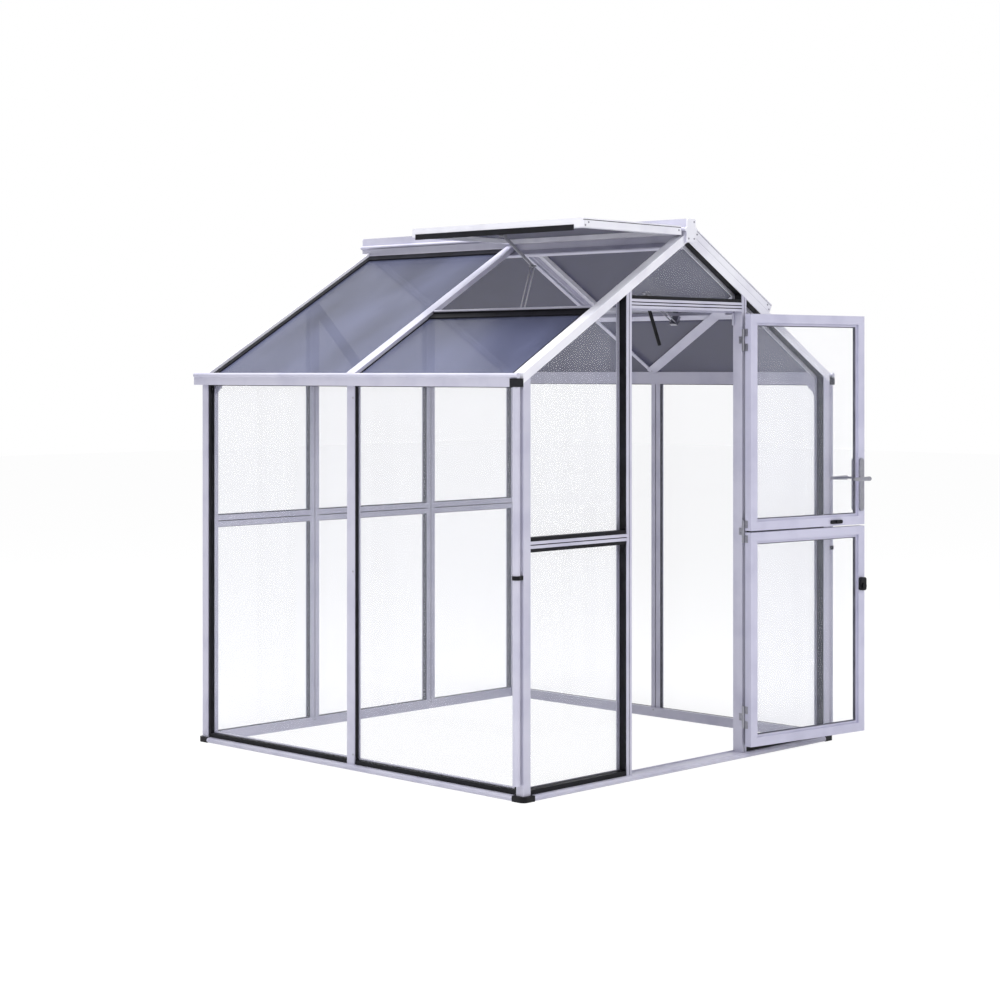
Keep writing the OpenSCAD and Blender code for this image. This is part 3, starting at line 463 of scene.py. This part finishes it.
@dataclass(frozen=True)
class Softbox:
    """A square soft lamp that faces the middle of the house."""

    name: str
    place: tuple[float, float, float]
    watts: float
    side: float = 3.0
    aim: tuple[float, float, float] = (0.0, 0.94, 1.0)

    def build(self) -> None:
        """Add the lamp, hidden from mirror reflections."""
        lamp = bpy.data.lights.new(self.name, "AREA")
        lamp.size = self.side
        lamp.energy = self.watts
        holder = bpy.data.objects.new(self.name, lamp)
        holder.location = self.place
        way = Vector(self.aim) - Vector(self.place)
        holder.rotation_euler = way.to_track_quat("-Z", "Y").to_euler()
        holder.visible_glossy = False
        bpy.context.scene.collection.objects.link(holder)


@dataclass
class Studio:
    """Floor, soft light, white surround and the camera at the photograph's place."""

    camera_at: tuple[float, float, float] = (-6.788, -5.596, 1.605)
    heading_deg: float = 45.64
    lens_mm: float = 77.94
    sensor_mm: float = 36.0
    shift_y: float = -0.1283
    sight: float = 200.0
    sky: float = 0.28
    floor_half: float = 30.0
    floor_drop: float = 0.5 * MM
    floor_tone: str = "#f6f6f8"
    floor_roughness: float = 0.9
    floor_glow: float = 1.08
    glow_share: float = 0.88
    lamps: tuple[Softbox, ...] = (
        Softbox("key_softbox", (2.0, -6.0, 5.0), 225.0),
        Softbox("fill_softbox", (-5.5, -1.5, 4.0), 165.0),
        Softbox("top_softbox", (-0.8, 0.9, 6.5), 570.0),
    )

    def build(self) -> None:
        """Make the surround, floor, lamps and camera."""
        bpy.context.scene.view_settings.view_transform = "Standard"
        self._surround()
        self._floor()
        for lamp in self.lamps:
            lamp.build()
        self._camera()

    def _seen(self, tree: bpy.types.NodeTree) -> bpy.types.NodeSocket:
        """Add a test that is 1 for rays that show the surround: camera, mirror and see-through.

        Args:
            tree: Node tree of the floor or the world.

        Returns:
            The socket with the largest of the three.
        """
        path = add_node(tree, "ShaderNodeLightPath")
        seen = path.outputs["Is Camera Ray"]
        for ray in ("Is Glossy Ray", "Is Transmission Ray"):
            either = add_node(
                tree, "ShaderNodeMath", {0: seen, 1: path.outputs[ray]}, operation="MAXIMUM"
            )
            seen = either.outputs[0]
        return seen

    def _surround(self) -> None:
        """White where it is seen, and a soft overcast level where it lights."""
        world = bpy.data.worlds.new("studio_surround")
        world.use_nodes = True
        tree = world.node_tree
        level = add_node(
            tree,
            "ShaderNodeMapRange",
            {"Value": self._seen(tree), "To Min": self.sky, "To Max": 1.0},
        )
        background = tree.nodes["Background"]
        background.inputs["Color"].default_value = WHITE
        tree.links.new(level.outputs["Result"], background.inputs["Strength"])
        bpy.context.scene.world = world

    def _floor(self) -> None:
        """Pale floor that keeps a faint shadow of the house."""
        mesh = bpy.data.meshes.new("studio_floor")
        h = self.floor_half
        mesh.from_pydata([(-h, -h, 0), (h, -h, 0), (h, h, 0), (-h, h, 0)], [], [(0, 1, 2, 3)])
        mesh.materials.append(self._floor_paint())
        floor = bpy.data.objects.new("studio_floor", mesh)
        floor.location.z = -self.floor_drop
        bpy.context.scene.collection.objects.link(floor)

    def _floor_paint(self) -> bpy.types.Material:
        """Return the floor's material: matt white that glows where it is seen."""
        paint = bpy.data.materials.new("studio_floor_white")
        paint.use_nodes = True
        tree = paint.node_tree
        shader = tree.nodes["Principled BSDF"]
        shader.inputs["Base Color"].default_value = srgb(self.floor_tone)
        shader.inputs["Roughness"].default_value = self.floor_roughness
        shader.inputs["Specular IOR Level"].default_value = 0.0
        glow = add_node(
            tree, "ShaderNodeEmission", {"Color": WHITE, "Strength": self.floor_glow}
        )
        share = add_node(
            tree, "ShaderNodeMath", {0: self._seen(tree), 1: self.glow_share}, operation="MULTIPLY"
        )
        mixed = add_node(
            tree,
            "ShaderNodeMixShader",
            {0: share.outputs[0], 1: shader.outputs[0], 2: glow.outputs[0]},
        )
        tree.links.new(mixed.outputs[0], tree.nodes["Material Output"].inputs["Surface"])
        return paint

    def _camera(self) -> None:
        """Level camera with a vertical shift, as the photograph was taken."""
        data = bpy.data.cameras.new("camera")
        data.sensor_width = self.sensor_mm
        data.lens = self.lens_mm
        data.shift_y = self.shift_y
        data.clip_end = self.sight
        holder = bpy.data.objects.new("camera", data)
        holder.location = self.camera_at
        holder.rotation_euler = (math.radians(90), 0.0, -math.radians(self.heading_deg))
        bpy.context.scene.collection.objects.link(holder)
        bpy.context.scene.camera = holder


@dataclass
class CadFrame:
    """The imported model's nodes, each dressed in its own finish or that of its slot."""

    nodes: dict[str, bpy.types.Object]
    record: dict[str, Any]

    def dress(self) -> None:
        """Give every node its own finish, or else the finish of its material slot."""
        for part in self.record["subparts"]:
            finish = NODE_FINISHES.get(part["node"], FINISHES[Slot(part["material_slot"])])
            data = self.nodes[part["node"]].data
            data.materials.clear()
            data.materials.append(finish.material())
            LOG.info("%s: %s", part["node"], finish.name)


def link_piece(
    name: str, mesh: bpy.types.Mesh, body: Body, slot: Slot, finish: Finish | None = None
) -> None:
    """Make a mesh a piece of the object that rides on a body.

    Args:
        name: Name of the piece.
        mesh: Its mesh, already in place.
        body: Body that carries it.
        slot: Record slot that it takes its finish from.
        finish: Another finish than the slot's own.
    """
    piece = bpy.data.objects.new(name, mesh)
    bpy.context.scene.collection.objects.link(piece)
    mesh.materials.clear()
    mesh.materials.append((finish or FINISHES[slot]).material())
    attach(piece, body.value)
    LOG.info("%s: %d faces on %s", name, len(mesh.polygons), body.value)


def mesh_from(name: str, bm: bmesh.types.BMesh) -> bpy.types.Mesh:
    """Close a bmesh into a mesh with its doubles merged and its normals outward.

    Args:
        name: Name of the mesh.
        bm: The bmesh, which is freed.

    Returns:
        The finished mesh.
    """
    bmesh.ops.remove_doubles(bm, verts=bm.verts, dist=WELD)
    bmesh.ops.recalc_face_normals(bm, faces=bm.faces)
    mesh = bpy.data.meshes.new(name)
    bm.to_mesh(mesh)
    bm.free()
    return mesh


@dataclass(frozen=True)
class Walls:
    """Sizes of the wall frame that the fillers and screws are placed by."""

    post: float = 364 * MM
    depth: float = 48 * MM
    side_depth: float = 32 * MM
    rail: float = 956 * MM
    lintel: float = 1873.3 * MM
    eaves_beam: float = 1548 * MM


@dataclass(frozen=True)
class Roof:
    """Sizes of the roof, and places on its slopes and vents."""

    half_width: float = 965 * MM
    eaves: float = 1601 * MM
    pitch_deg: float = 30.6
    front: float = -24 * MM
    back: float = 1906 * MM
    bar_depth: float = 26.3 * MM
    vent_length: float = 596 * MM
    vent_depth: float = 36 * MM
    vent_lift: float = 1 * MM
    vent_gap: float = 8 * MM
    vent_open_deg: float = 31.0
    bead: float = 8 * MM
    ridge_half: float = 27 * MM
    ridge_down: float = 44 * MM
    ridge_up: float = 50 * MM
    ridge_front: float = 11 * MM
    ridge_back: float = 2 * MM
    ridge_cap: float = 4 * MM

    @property
    def pitch(self) -> float:
        """Slope of the roof in radians."""
        return math.radians(self.pitch_deg)

    @property
    def apex(self) -> float:
        """Height of the roof's peak line."""
        return self.eaves + self.half_width * math.tan(self.pitch)

    @property
    def middle(self) -> float:
        """Place of the middle rafters along the building."""
        return (self.front + self.back) / 2

    @property
    def ridge_ends(self) -> tuple[tuple[float, int], ...]:
        """Ends of the ridge beam along the building, and the way that each one looks."""
        return (self.front - self.ridge_front, -1), (self.back + self.ridge_back, 1)

    @property
    def vent_faces(self) -> tuple[tuple[float, int], ...]:
        """Outer side faces of a vent along the building, and the way that each one looks."""
        return (self.front, -1), (self.middle - self.vent_gap, 1)

    def on_slope(self, side: int) -> Matrix:
        """Return the frame of a slope: x down the slope from the peak, z out of the roof.

        Args:
            side: 1 for the right slope, -1 for the left.

        Returns:
            The matrix from that frame to the building.
        """
        turn = Matrix.Rotation(self.pitch, 4, "Y")
        return Matrix.Scale(side, 4, (1, 0, 0)) @ Matrix.Translation((0, 0, self.apex)) @ turn

    def in_vent(self, side: int) -> Matrix:
        """Return the frame of a vent: x from its hinge line to its free edge, z out of it.

        Args:
            side: 1 for the shut right vent, -1 for the open left one.

        Returns:
            The matrix from that frame to the building.
        """
        out = self.ridge_half + self.bead
        s = out * math.cos(self.pitch) - self.bead * math.sin(self.pitch)
        n = out * math.sin(self.pitch) + self.bead * math.cos(self.pitch)
        angle = -math.radians(self.vent_open_deg) if side < 0 else 0.0
        hinge = Matrix.Translation((s, 0, n)) @ Matrix.Rotation(angle, 4, "Y")
        return self.on_slope(side) @ hinge @ Matrix.Translation((0, 0, self.vent_lift - n))


@dataclass
class Leaf:
    """One leaf of the split door, modelled closed and stood open as the photograph shows it."""

    name: str
    body: Body
    low: float
    high: float
    left: float = -343 * MM
    right: float = 345 * MM
    face: float = -24 * MM
    depth: float = 34 * MM
    bar: float = 47 * MM
    pane: float = 4 * MM
    gasket_width: float = 4 * MM
    gasket_depth: float = 6 * MM
    # Where the wedge's slope bends, as shares of its width and depth
    gasket_bend: tuple[float, float] = (0.7, 0.4)
    hinge: Vector = field(default_factory=lambda: Vector((347.5 * MM, -32 * MM, 0.0)))
    open_deg: float = 172.5

    def swing(self) -> Matrix:
        """Return the matrix from the closed leaf to its open place."""
        turn = Matrix.Rotation(math.radians(self.open_deg), 4, "Z")
        return Matrix.Translation(self.hinge) @ turn @ Matrix.Translation(-self.hinge)

    def gasket(self) -> None:
        """Add the wedge gaskets that hold the pane on both faces."""
        wide = self.gasket_width
        bend_in, bend_out = self.gasket_bend
        middle = self.face + self.depth / 2
        bm = bmesh.new()
        for outward in (-1, 1):
            seat = middle + outward * self.pane / 2
            rise = outward * self.gasket_depth
            wedge = [
                (0.0, seat),
                (wide, seat),
                (wide * bend_in, seat + rise * bend_out),
                (0.0, seat + rise),
            ]
            rings = [self._ring(bm, inset, y) for inset, y in wedge]
            for a, b in zip(rings, rings[1:] + rings[:1]):
                for i in range(4):
                    j = (i + 1) % 4
                    bm.faces.new((a[i], a[j], b[j], b[i]))
        bmesh.ops.transform(bm, matrix=self.swing(), verts=bm.verts)
        mesh = mesh_from(f"{self.name}_gasket", bm)
        link_piece(f"{self.name}_gasket", mesh, self.body, Slot.RUBBER, DOOR_GASKET)

    def _ring(
        self, bm: bmesh.types.BMesh, inset: float, y: float
    ) -> list[bmesh.types.BMVert]:
        """Add the four corners of the pane's opening, drawn in by an inset.

        Args:
            bm: The bmesh that takes the corners.
            inset: Distance from the bars toward the pane's middle.
            y: Depth of the corners.

        Returns:
            The corners in order.
        """
        x0, x1 = self.left + self.bar + inset, self.right - self.bar - inset
        z0, z1 = self.low + self.bar + inset, self.high - self.bar - inset
        return [bm.verts.new(p) for p in ((x0, y, z0), (x1, y, z0), (x1, y, z1), (x0, y, z1))]


@dataclass
class RidgeCaps:
    """End plates, pale with painted light, that close the ridge beam over both gables, with an ear
    over each bead.
    """

    roof: Roof
    bevel: float = 1.2 * MM
    past_sides: float = 0.5 * MM
    past_ends: float = 1 * MM
    chamfer: float = 5 * MM
    ear_foot: float = -4 * MM
    ear_low: float = 1 * MM
    ear_middle: float = 8 * MM
    ear_high: float = 15 * MM
    ear_head: float = 18 * MM
    ear_swell: float = 0.7

    def outline(self) -> list[tuple[float, float]]:
        """Return the right half of a cap's rim, upward: distance and height from the peak."""
        roof = self.roof
        side = roof.ridge_half + self.past_sides
        ear = roof.ridge_half + roof.bead
        return [
            (side, -roof.ridge_down - self.past_ends),
            (side, self.ear_foot),
            (ear, self.ear_low),
            (ear + roof.bead * self.ear_swell, self.ear_middle),
            (ear, self.ear_high),
            (side, self.ear_head),
            (side, roof.ridge_up - self.chamfer),
            (side - self.chamfer, roof.ridge_up + self.past_ends),
        ]

    def build(self) -> None:
        """Add both caps as one piece."""
        roof = self.roof
        bm = bmesh.new()
        half = self.outline()
        rim = half + [(-x, z) for x, z in reversed(half)]
        for y, facing in roof.ridge_ends:
            face = bm.faces.new([bm.verts.new((x, y, roof.apex + z)) for x, z in rim])
            grown = bmesh.ops.extrude_face_region(bm, geom=[face])["geom"]
            moved = [item for item in grown if isinstance(item, bmesh.types.BMVert)]
            bmesh.ops.translate(bm, verts=moved, vec=(0, facing * roof.ridge_cap, 0))
            edges = [edge for edge in bm.edges if all(v in moved for v in edge.verts)]
            bmesh.ops.bevel(
                bm, geom=edges, offset=self.bevel, segments=2, profile=0.5, affect="EDGES"
            )
        mesh = mesh_from("ridge_caps", bm)
        # The caps take the roof bars' paler aluminium: painted light
        link_piece("ridge_caps", mesh, Body.HOUSE, Slot.FRAME, PAINTED_LIGHT_ROOF_BARS)


@dataclass(frozen=True)
class ChannelReach:
    """Where the bolt channels begin and end on one face of a gable wall.

    A post's channel runs from foot to head. A rail's runs from near, counted from the post's
    middle line, to far, counted from the middle of the house.
    """

    foot: float
    head: float
    near: float
    far: float


@dataclass
class BoltChannelShade:
    """Dark strips, in the black rubber finish, along the floors of the bolt channels on posts,
    rails and vents: painted shade for the shadow inside the grooves.
    """

    roof: Roof
    walls: Walls
    outer: ChannelReach = ChannelReach(foot=23 * MM, head=1910 * MM, near=15 * MM, far=926 * MM)
    inner: ChannelReach = ChannelReach(foot=43 * MM, head=1898 * MM, near=25 * MM, far=917 * MM)
    side_foot: float = 43 * MM
    side_head: float = 1545 * MM
    lintel_line: float = 6.2 * MM
    vent_start: float = 11 * MM
    vent_line: float = 6.5 * MM
    groove: float = 3 * MM
    width: float = 3.6 * MM
    vent_width: float = 2.6 * MM
    rise: float = 1.4 * MM
    steps: int = 4

    def build(self) -> None:
        """Add all shade strips as one piece."""
        roof, walls = self.roof, self.walls
        bm = bmesh.new()
        for wall, way in ((roof.front, -1), (roof.back, 1)):
            outside = wall - way * self.groove
            inside = wall - way * (walls.depth - self.groove)
            self._gable(bm, outside, way, self.outer, doorway=way < 0)
            self._gable(bm, inside, -way, self.inner, doorway=way < 0)
        for side in RIGHT_AND_LEFT:
            x = side * (roof.half_width - walls.side_depth + self.groove)
            start = Vector((x, roof.middle, self.side_foot))
            end = Vector((x, roof.middle, self.side_head))
            self._run(bm, start, end, Vector((-side, 0, 0)), self.width)
            self._vent(bm, side)
        # One piece of painted shade for all the grooves
        link_piece("bolt_channel_shade", mesh_from("bolt_channel_shade", bm), Body.HOUSE, Slot.RUBBER)

    def _gable(
        self, bm: bmesh.types.BMesh, y: float, facing: int, reach: ChannelReach, doorway: bool
    ) -> None:
        """Add the shade strips on one face of a gable wall.

        Args:
            bm: The bmesh that takes them.
            y: Depth of the channels' floors.
            facing: Direction along y in which the face looks.
            reach: Where the channels begin and end.
            doorway: Whether the wall has the doorway, with a lintel in place of the middle rail.
        """
        walls = self.walls
        out = Vector((0, facing, 0))
        middle = walls.post - reach.near
        for side in RIGHT_AND_LEFT:
            x = side * walls.post
            self._run(bm, Vector((x, y, reach.foot)), Vector((x, y, reach.head)), out, self.width)
            start = Vector((side * (walls.post + reach.near), y, walls.rail))
            end = Vector((side * reach.far, y, walls.rail))
            self._run(bm, start, end, out, self.width)
        on_lintel = [walls.lintel - self.lintel_line, walls.lintel + self.lintel_line]
        for z in on_lintel if doorway else [walls.rail]:
            self._run(bm, Vector((-middle, y, z)), Vector((middle, y, z)), out, self.width)

    def _vent(self, bm: bmesh.types.BMesh, side: int) -> None:
        """Add the shade strips on the outer faces of a vent's side rails.

        Args:
            bm: The bmesh that takes them.
            side: 1 for the shut right vent, -1 for the open left one.
        """
        roof = self.roof
        place = roof.in_vent(side)
        z = roof.vent_depth - self.vent_line
        for face, facing in roof.vent_faces:
            y = face - facing * self.groove
            start = place @ Vector((self.vent_start, y, z))
            end = place @ Vector((roof.vent_length, y, z))
            self._run(bm, start, end, Vector((0, facing, 0)), self.vent_width)

    def _run(
        self, bm: bmesh.types.BMesh, start: Vector, end: Vector, out: Vector, width: float
    ) -> None:
        """Add one half-round strip of painted shade along a channel's floor.

        Args:
            bm: The bmesh that takes it.
            start: First end of the strip.
            end: Last end of the strip.
            out: Direction in which the channel opens.
            width: Width of the strip.
        """
        across = out.cross(end - start).normalized()
        arc = [math.pi * i / self.steps for i in range(self.steps + 1)]
        profile = [
            across * (width / 2 * math.cos(a)) + out * (self.rise * math.sin(a)) for a in arc
        ]
        first = [bm.verts.new(start + p) for p in profile]
        last = [bm.verts.new(end + p) for p in profile]
        bm.faces.new(first)
        bm.faces.new(last[::-1])
        for i in range(len(profile)):
            j = (i + 1) % len(profile)
            bm.faces.new((first[i], first[j], last[j], last[i]))


@dataclass
class ScrewSet:
    """Cross-head screws of one body, set on points by a node tree.

    The sizes of the dome and of the cross in it are shares of the head's radius.
    """

    name: str
    body: Body
    head_radius: float = 4.2 * MM
    dome: float = 0.45
    cross_length: float = 1.2
    cross_width: float = 0.26
    cross_depth: float = 0.5
    cross_height: float = 0.5
    segments: int = 16
    rings: int = 8
    points: list[tuple[Vector, Vector]] = field(default_factory=list)

    def at(self, matrix: Matrix, places: list[tuple[float, float, float]], axis: Vector) -> None:
        """Add screws in a frame of the building.

        Args:
            matrix: From that frame to the building.
            places: Points in that frame.
            axis: Direction in that frame in which the heads face.
        """
        facing = (matrix.to_3x3() @ axis).normalized()
        self.points.extend((matrix @ Vector(place), facing) for place in places)

    def build(self) -> None:
        """Set the screws and add them as one piece."""
        carrier_mesh = bpy.data.meshes.new(f"{self.name}_points")
        carrier_mesh.from_pydata([place for place, _ in self.points], [], [])
        facing = carrier_mesh.attributes.new("facing", "FLOAT_VECTOR", "POINT")
        for item, (_, axis) in zip(facing.data, self.points):
            item.vector = axis
        carrier = bpy.data.objects.new(f"{self.name}_points", carrier_mesh)
        bpy.context.scene.collection.objects.link(carrier)
        tree = self._tree()
        modifier = carrier.modifiers.new("screws", "NODES")
        modifier.node_group = tree
        sizes = {"Head Radius": self.head_radius, "Dome": self.dome}
        for item in tree.interface.items_tree:
            if item.name in sizes:
                modifier[item.identifier] = sizes[item.name]
        seen = carrier.evaluated_get(bpy.context.evaluated_depsgraph_get())
        mesh = bpy.data.meshes.new_from_object(seen)
        bpy.data.objects.remove(carrier)
        mesh.name = self.name
        link_piece(self.name, mesh, self.body, Slot.STEEL)

    def _tree(self) -> bpy.types.NodeTree:
        """Return the node tree that puts a screw head on each point."""
        tree = bpy.data.node_groups.new(f"{self.name}_tree", "GeometryNodeTree")
        tree.interface.new_socket("Points", in_out="INPUT", socket_type="NodeSocketGeometry")
        tree.interface.new_socket("Head Radius", in_out="INPUT", socket_type="NodeSocketFloat")
        tree.interface.new_socket("Dome", in_out="INPUT", socket_type="NodeSocketFloat")
        tree.interface.new_socket("Screws", in_out="OUTPUT", socket_type="NodeSocketGeometry")
        given = add_node(tree, "NodeGroupInput")
        facing = add_node(
            tree, "GeometryNodeInputNamedAttribute", {"Name": "facing"}, data_type="FLOAT_VECTOR"
        )
        turn = add_node(
            tree,
            "FunctionNodeAlignRotationToVector",
            {"Vector": facing.outputs["Attribute"]},
            axis="Z",
        )
        placed = add_node(
            tree,
            "GeometryNodeInstanceOnPoints",
            {
                "Points": given.outputs["Points"],
                "Instance": self._head(tree, given),
                "Rotation": turn.outputs[0],
            },
        )
        real = add_node(tree, "GeometryNodeRealizeInstances", {0: placed.outputs[0]})
        clad = add_node(
            tree,
            "GeometryNodeSetMaterial",
            {0: real.outputs[0], "Material": FINISHES[Slot.STEEL].material()},
        )
        add_node(tree, "NodeGroupOutput", {"Screws": clad.outputs[0]})
        return tree

    def _head(self, tree: bpy.types.NodeTree, given: bpy.types.Node) -> bpy.types.NodeSocket:
        """Add one domed head with a cross cut into it.

        Args:
            tree: Node tree that takes the head.
            given: The tree's input node.

        Returns:
            The socket with the head's mesh.
        """
        radius = given.outputs["Head Radius"]
        ball = add_node(
            tree,
            "GeometryNodeMeshUVSphere",
            {"Segments": self.segments, "Rings": self.rings, "Radius": radius},
        )
        flatten = add_node(
            tree, "ShaderNodeCombineXYZ", {0: 1.0, 1: 1.0, 2: given.outputs["Dome"]}
        )
        head = add_node(
            tree, "GeometryNodeTransform", {0: ball.outputs["Mesh"], "Scale": flatten.outputs[0]}
        )
        height = add_node(
            tree, "ShaderNodeMath", {0: radius, 1: self.cross_height}, operation="MULTIPLY"
        )
        lift = add_node(tree, "ShaderNodeCombineXYZ", {2: height.outputs[0]})
        for long_axis in range(2):
            sides = [self.cross_width, self.cross_width, self.cross_depth]
            sides[long_axis] = self.cross_length
            size = add_node(
                tree,
                "ShaderNodeVectorMath",
                {0: tuple(sides), "Scale": radius},
                operation="SCALE",
            )
            bar = add_node(tree, "GeometryNodeMeshCube", {"Size": size.outputs[0]})
            slot = add_node(
                tree,
                "GeometryNodeTransform",
                {0: bar.outputs["Mesh"], "Translation": lift.outputs[0]},
            )
            head = add_node(
                tree, "GeometryNodeMeshBoolean", {0: head.outputs[0], 1: slot.outputs[0]}
            )
        return head.outputs[0]


@dataclass
class Fixings:
    """Every screw head of the building, by body."""

    roof: Roof
    walls: Walls
    upper: Leaf
    lower: Leaf
    vent_corner: tuple[tuple[float, float], ...] = ((10 * MM, 8 * MM), (28 * MM, 20 * MM))
    vent_hinge_end: float = 26 * MM
    cap_side: float = 17 * MM
    cap_low: float = -30 * MM
    cap_high: float = 38 * MM
    foot: float = 32 * MM
    side_post_edge: float = 14 * MM
    side_post_heights: tuple[float, float, float] = (62 * MM, 800 * MM, 1500 * MM)
    gusset_inset: float = 35 * MM
    gusset_near: float = 12 * MM
    gusset_far: float = 38 * MM
    brace_under: float = 29 * MM
    brace_end: float = 23 * MM
    brace_side: float = 9 * MM
    brace_top_share: float = 0.42
    hinge_third: float = 30.67 * MM
    hinge_heights: tuple[float, float, float] = (1736.8 * MM, 941.5 * MM, 170 * MM)
    hinge_post_face: float = 348 * MM
    hinge_leaf_face: float = 347 * MM
    hinge_depth: float = -16 * MM
    hinge_pitch: float = 8 * MM
    lever_height: float = 1144 * MM
    plate_length: float = 228 * MM
    plate_below: float = 0.62
    plate_end: float = 13 * MM
    plate_rise: float = 8 * MM

    @property
    def gable_faces(self) -> tuple[tuple[float, int], ...]:
        """Inner faces of the gable walls along the building, and the way that each one looks."""
        return (self.roof.front + self.walls.depth, 1), (self.roof.back - self.walls.depth, -1)

    @property
    def inner_half(self) -> float:
        """Half of the room's width, as far as the frame's depth leaves it."""
        return self.roof.half_width - self.walls.depth

    def build(self) -> None:
        """Add the three sets of screws."""
        house = ScrewSet("house_screws", Body.HOUSE)
        self._vents(house)
        self._ridge(house)
        self._walls(house)
        self._braces(house)
        upper = ScrewSet("upper_leaf_screws", Body.UPPER_DOOR)
        lower = ScrewSet("lower_leaf_screws", Body.LOWER_DOOR)
        self._hinges(house, upper, lower)
        self._handle(upper)
        for screws in (house, upper, lower):
            screws.build()

    def _vents(self, screws: ScrewSet) -> None:
        """Add the corner screws on the outer faces of the vents' side rails.

        Args:
            screws: Set that takes them.
        """
        roof = self.roof
        for side in RIGHT_AND_LEFT:
            for y, facing in roof.vent_faces:
                places = [(roof.vent_length - x, y, z) for x, z in self.vent_corner]
                places.append((self.vent_hinge_end, y, roof.vent_depth / 2))
                screws.at(roof.in_vent(side), places, Vector((0, facing, 0)))

    def _ridge(self, screws: ScrewSet) -> None:
        """Add three screws on each ridge cap.

        Args:
            screws: Set that takes them.
        """
        roof = self.roof
        low, high = roof.apex + self.cap_low, roof.apex + self.cap_high
        for end, facing in roof.ridge_ends:
            y = end + facing * roof.ridge_cap
            places = [(-self.cap_side, y, low), (self.cap_side, y, low), (self.cap_side, y, high)]
            screws.at(Matrix.Identity(4), places, Vector((0, facing, 0)))

    def _walls(self, screws: ScrewSet) -> None:
        """Add screws at the post feet, on the side posts' faces and on the eaves gussets.

        Args:
            screws: Set that takes them.
        """
        roof, walls = self.roof, self.walls
        plain = Matrix.Identity(4)
        for y, facing in self.gable_faces:
            feet = [(x, y, self.foot) for x in (-walls.post, walls.post)]
            screws.at(plain, feet, Vector((0, facing, 0)))
        near, far = self.gusset_near, self.gusset_far
        for side in RIGHT_AND_LEFT:
            inward, outward = Vector((-side, 0, 0)), Vector((side, 0, 0))
            screws.at(plain, [(side * self.inner_half, roof.middle, self.foot)], inward)
            edge = roof.middle + side * self.side_post_edge
            face = [(side * roof.half_width, edge, z) for z in self.side_post_heights]
            screws.at(plain, face, outward)
            x = side * (roof.half_width - self.gusset_inset)
            for y, along in self.gable_faces:
                plate = [
                    (x, y + along * near, walls.eaves_beam - far),
                    (x, y + along * far, walls.eaves_beam - near),
                ]
                screws.at(plain, plate, inward)

    def _braces(self, screws: ScrewSet) -> None:
        """Add a screw at each end of the two wind braces.

        Args:
            screws: Set that takes them.
        """
        roof = self.roof
        wall_line = self.inner_half + roof.bar_depth * math.sin(roof.pitch)
        low = wall_line / math.cos(roof.pitch) - self.brace_end
        high = self.brace_top_share * roof.half_width / math.cos(roof.pitch)
        reach = (roof.back - roof.front) / 2 - self.walls.depth - self.brace_end
        for side in RIGHT_AND_LEFT:
            ends = [
                (low, roof.middle - side * self.brace_side, -self.brace_under),
                (high, roof.middle - side * reach, -self.brace_under),
            ]
            screws.at(roof.on_slope(side), ends, Vector((0, 0, -1)))

    def _hinges(self, house: ScrewSet, upper: ScrewSet, lower: ScrewSet) -> None:
        """Add two screws on every hinge plate.

        Args:
            house: Set of the posts.
            upper: Set of the upper leaf.
            lower: Set of the lower leaf.
        """
        top, middle, bottom = self.hinge_heights
        third, y = self.hinge_third, self.hinge_depth
        rise = (-self.hinge_pitch, self.hinge_pitch)
        on_post = [(self.hinge_post_face, y, z + dz) for z in self.hinge_heights for dz in rise]
        house.at(Matrix.Identity(4), on_post, Vector((-1, 0, 0)))
        for screws, leaf, heights in (
            (upper, self.upper, (top + third, top - third, middle + third)),
            (lower, self.lower, (middle - third, bottom + third, bottom - third)),
        ):
            on_leaf = [(self.hinge_leaf_face, y, z + dz) for z in heights for dz in rise]
            screws.at(leaf.swing(), on_leaf, Vector((1, 0, 0)))

    def _handle(self, screws: ScrewSet) -> None:
        """Add a screw at both ends of the handle plates.

        Args:
            screws: Set of the upper leaf.
        """
        leaf = self.upper
        x = leaf.left + leaf.bar / 2
        low = self.lever_height - self.plate_below * self.plate_length
        heights = (low + self.plate_end, low + self.plate_length - self.plate_end)
        for face, facing in ((leaf.face, -1), (leaf.face + leaf.depth, 1)):
            y = face + facing * self.plate_rise
            screws.at(leaf.swing(), [(x, y, z) for z in heights], Vector((0, facing, 0)))


def main() -> None:
    """Build the dressed greenhouse and its studio."""
    logging.basicConfig(level=logging.INFO, format="%(name)s: %(message)s")
    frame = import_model()
    CadFrame(frame["nodes"], frame["record"]).dress()
    roof = Roof()
    walls = Walls()
    upper = Leaf("upper_leaf", Body.UPPER_DOOR, low=945 * MM, high=1844.8 * MM)
    lower = Leaf("lower_leaf", Body.LOWER_DOOR, low=50 * MM, high=938 * MM)
    for leaf in (upper, lower):
        leaf.gasket()
    RidgeCaps(roof).build()
    BoltChannelShade(roof, walls).build()
    Fixings(roof, walls, upper, lower).build()
    Studio().build()


if __name__ == "__main__":
    main()
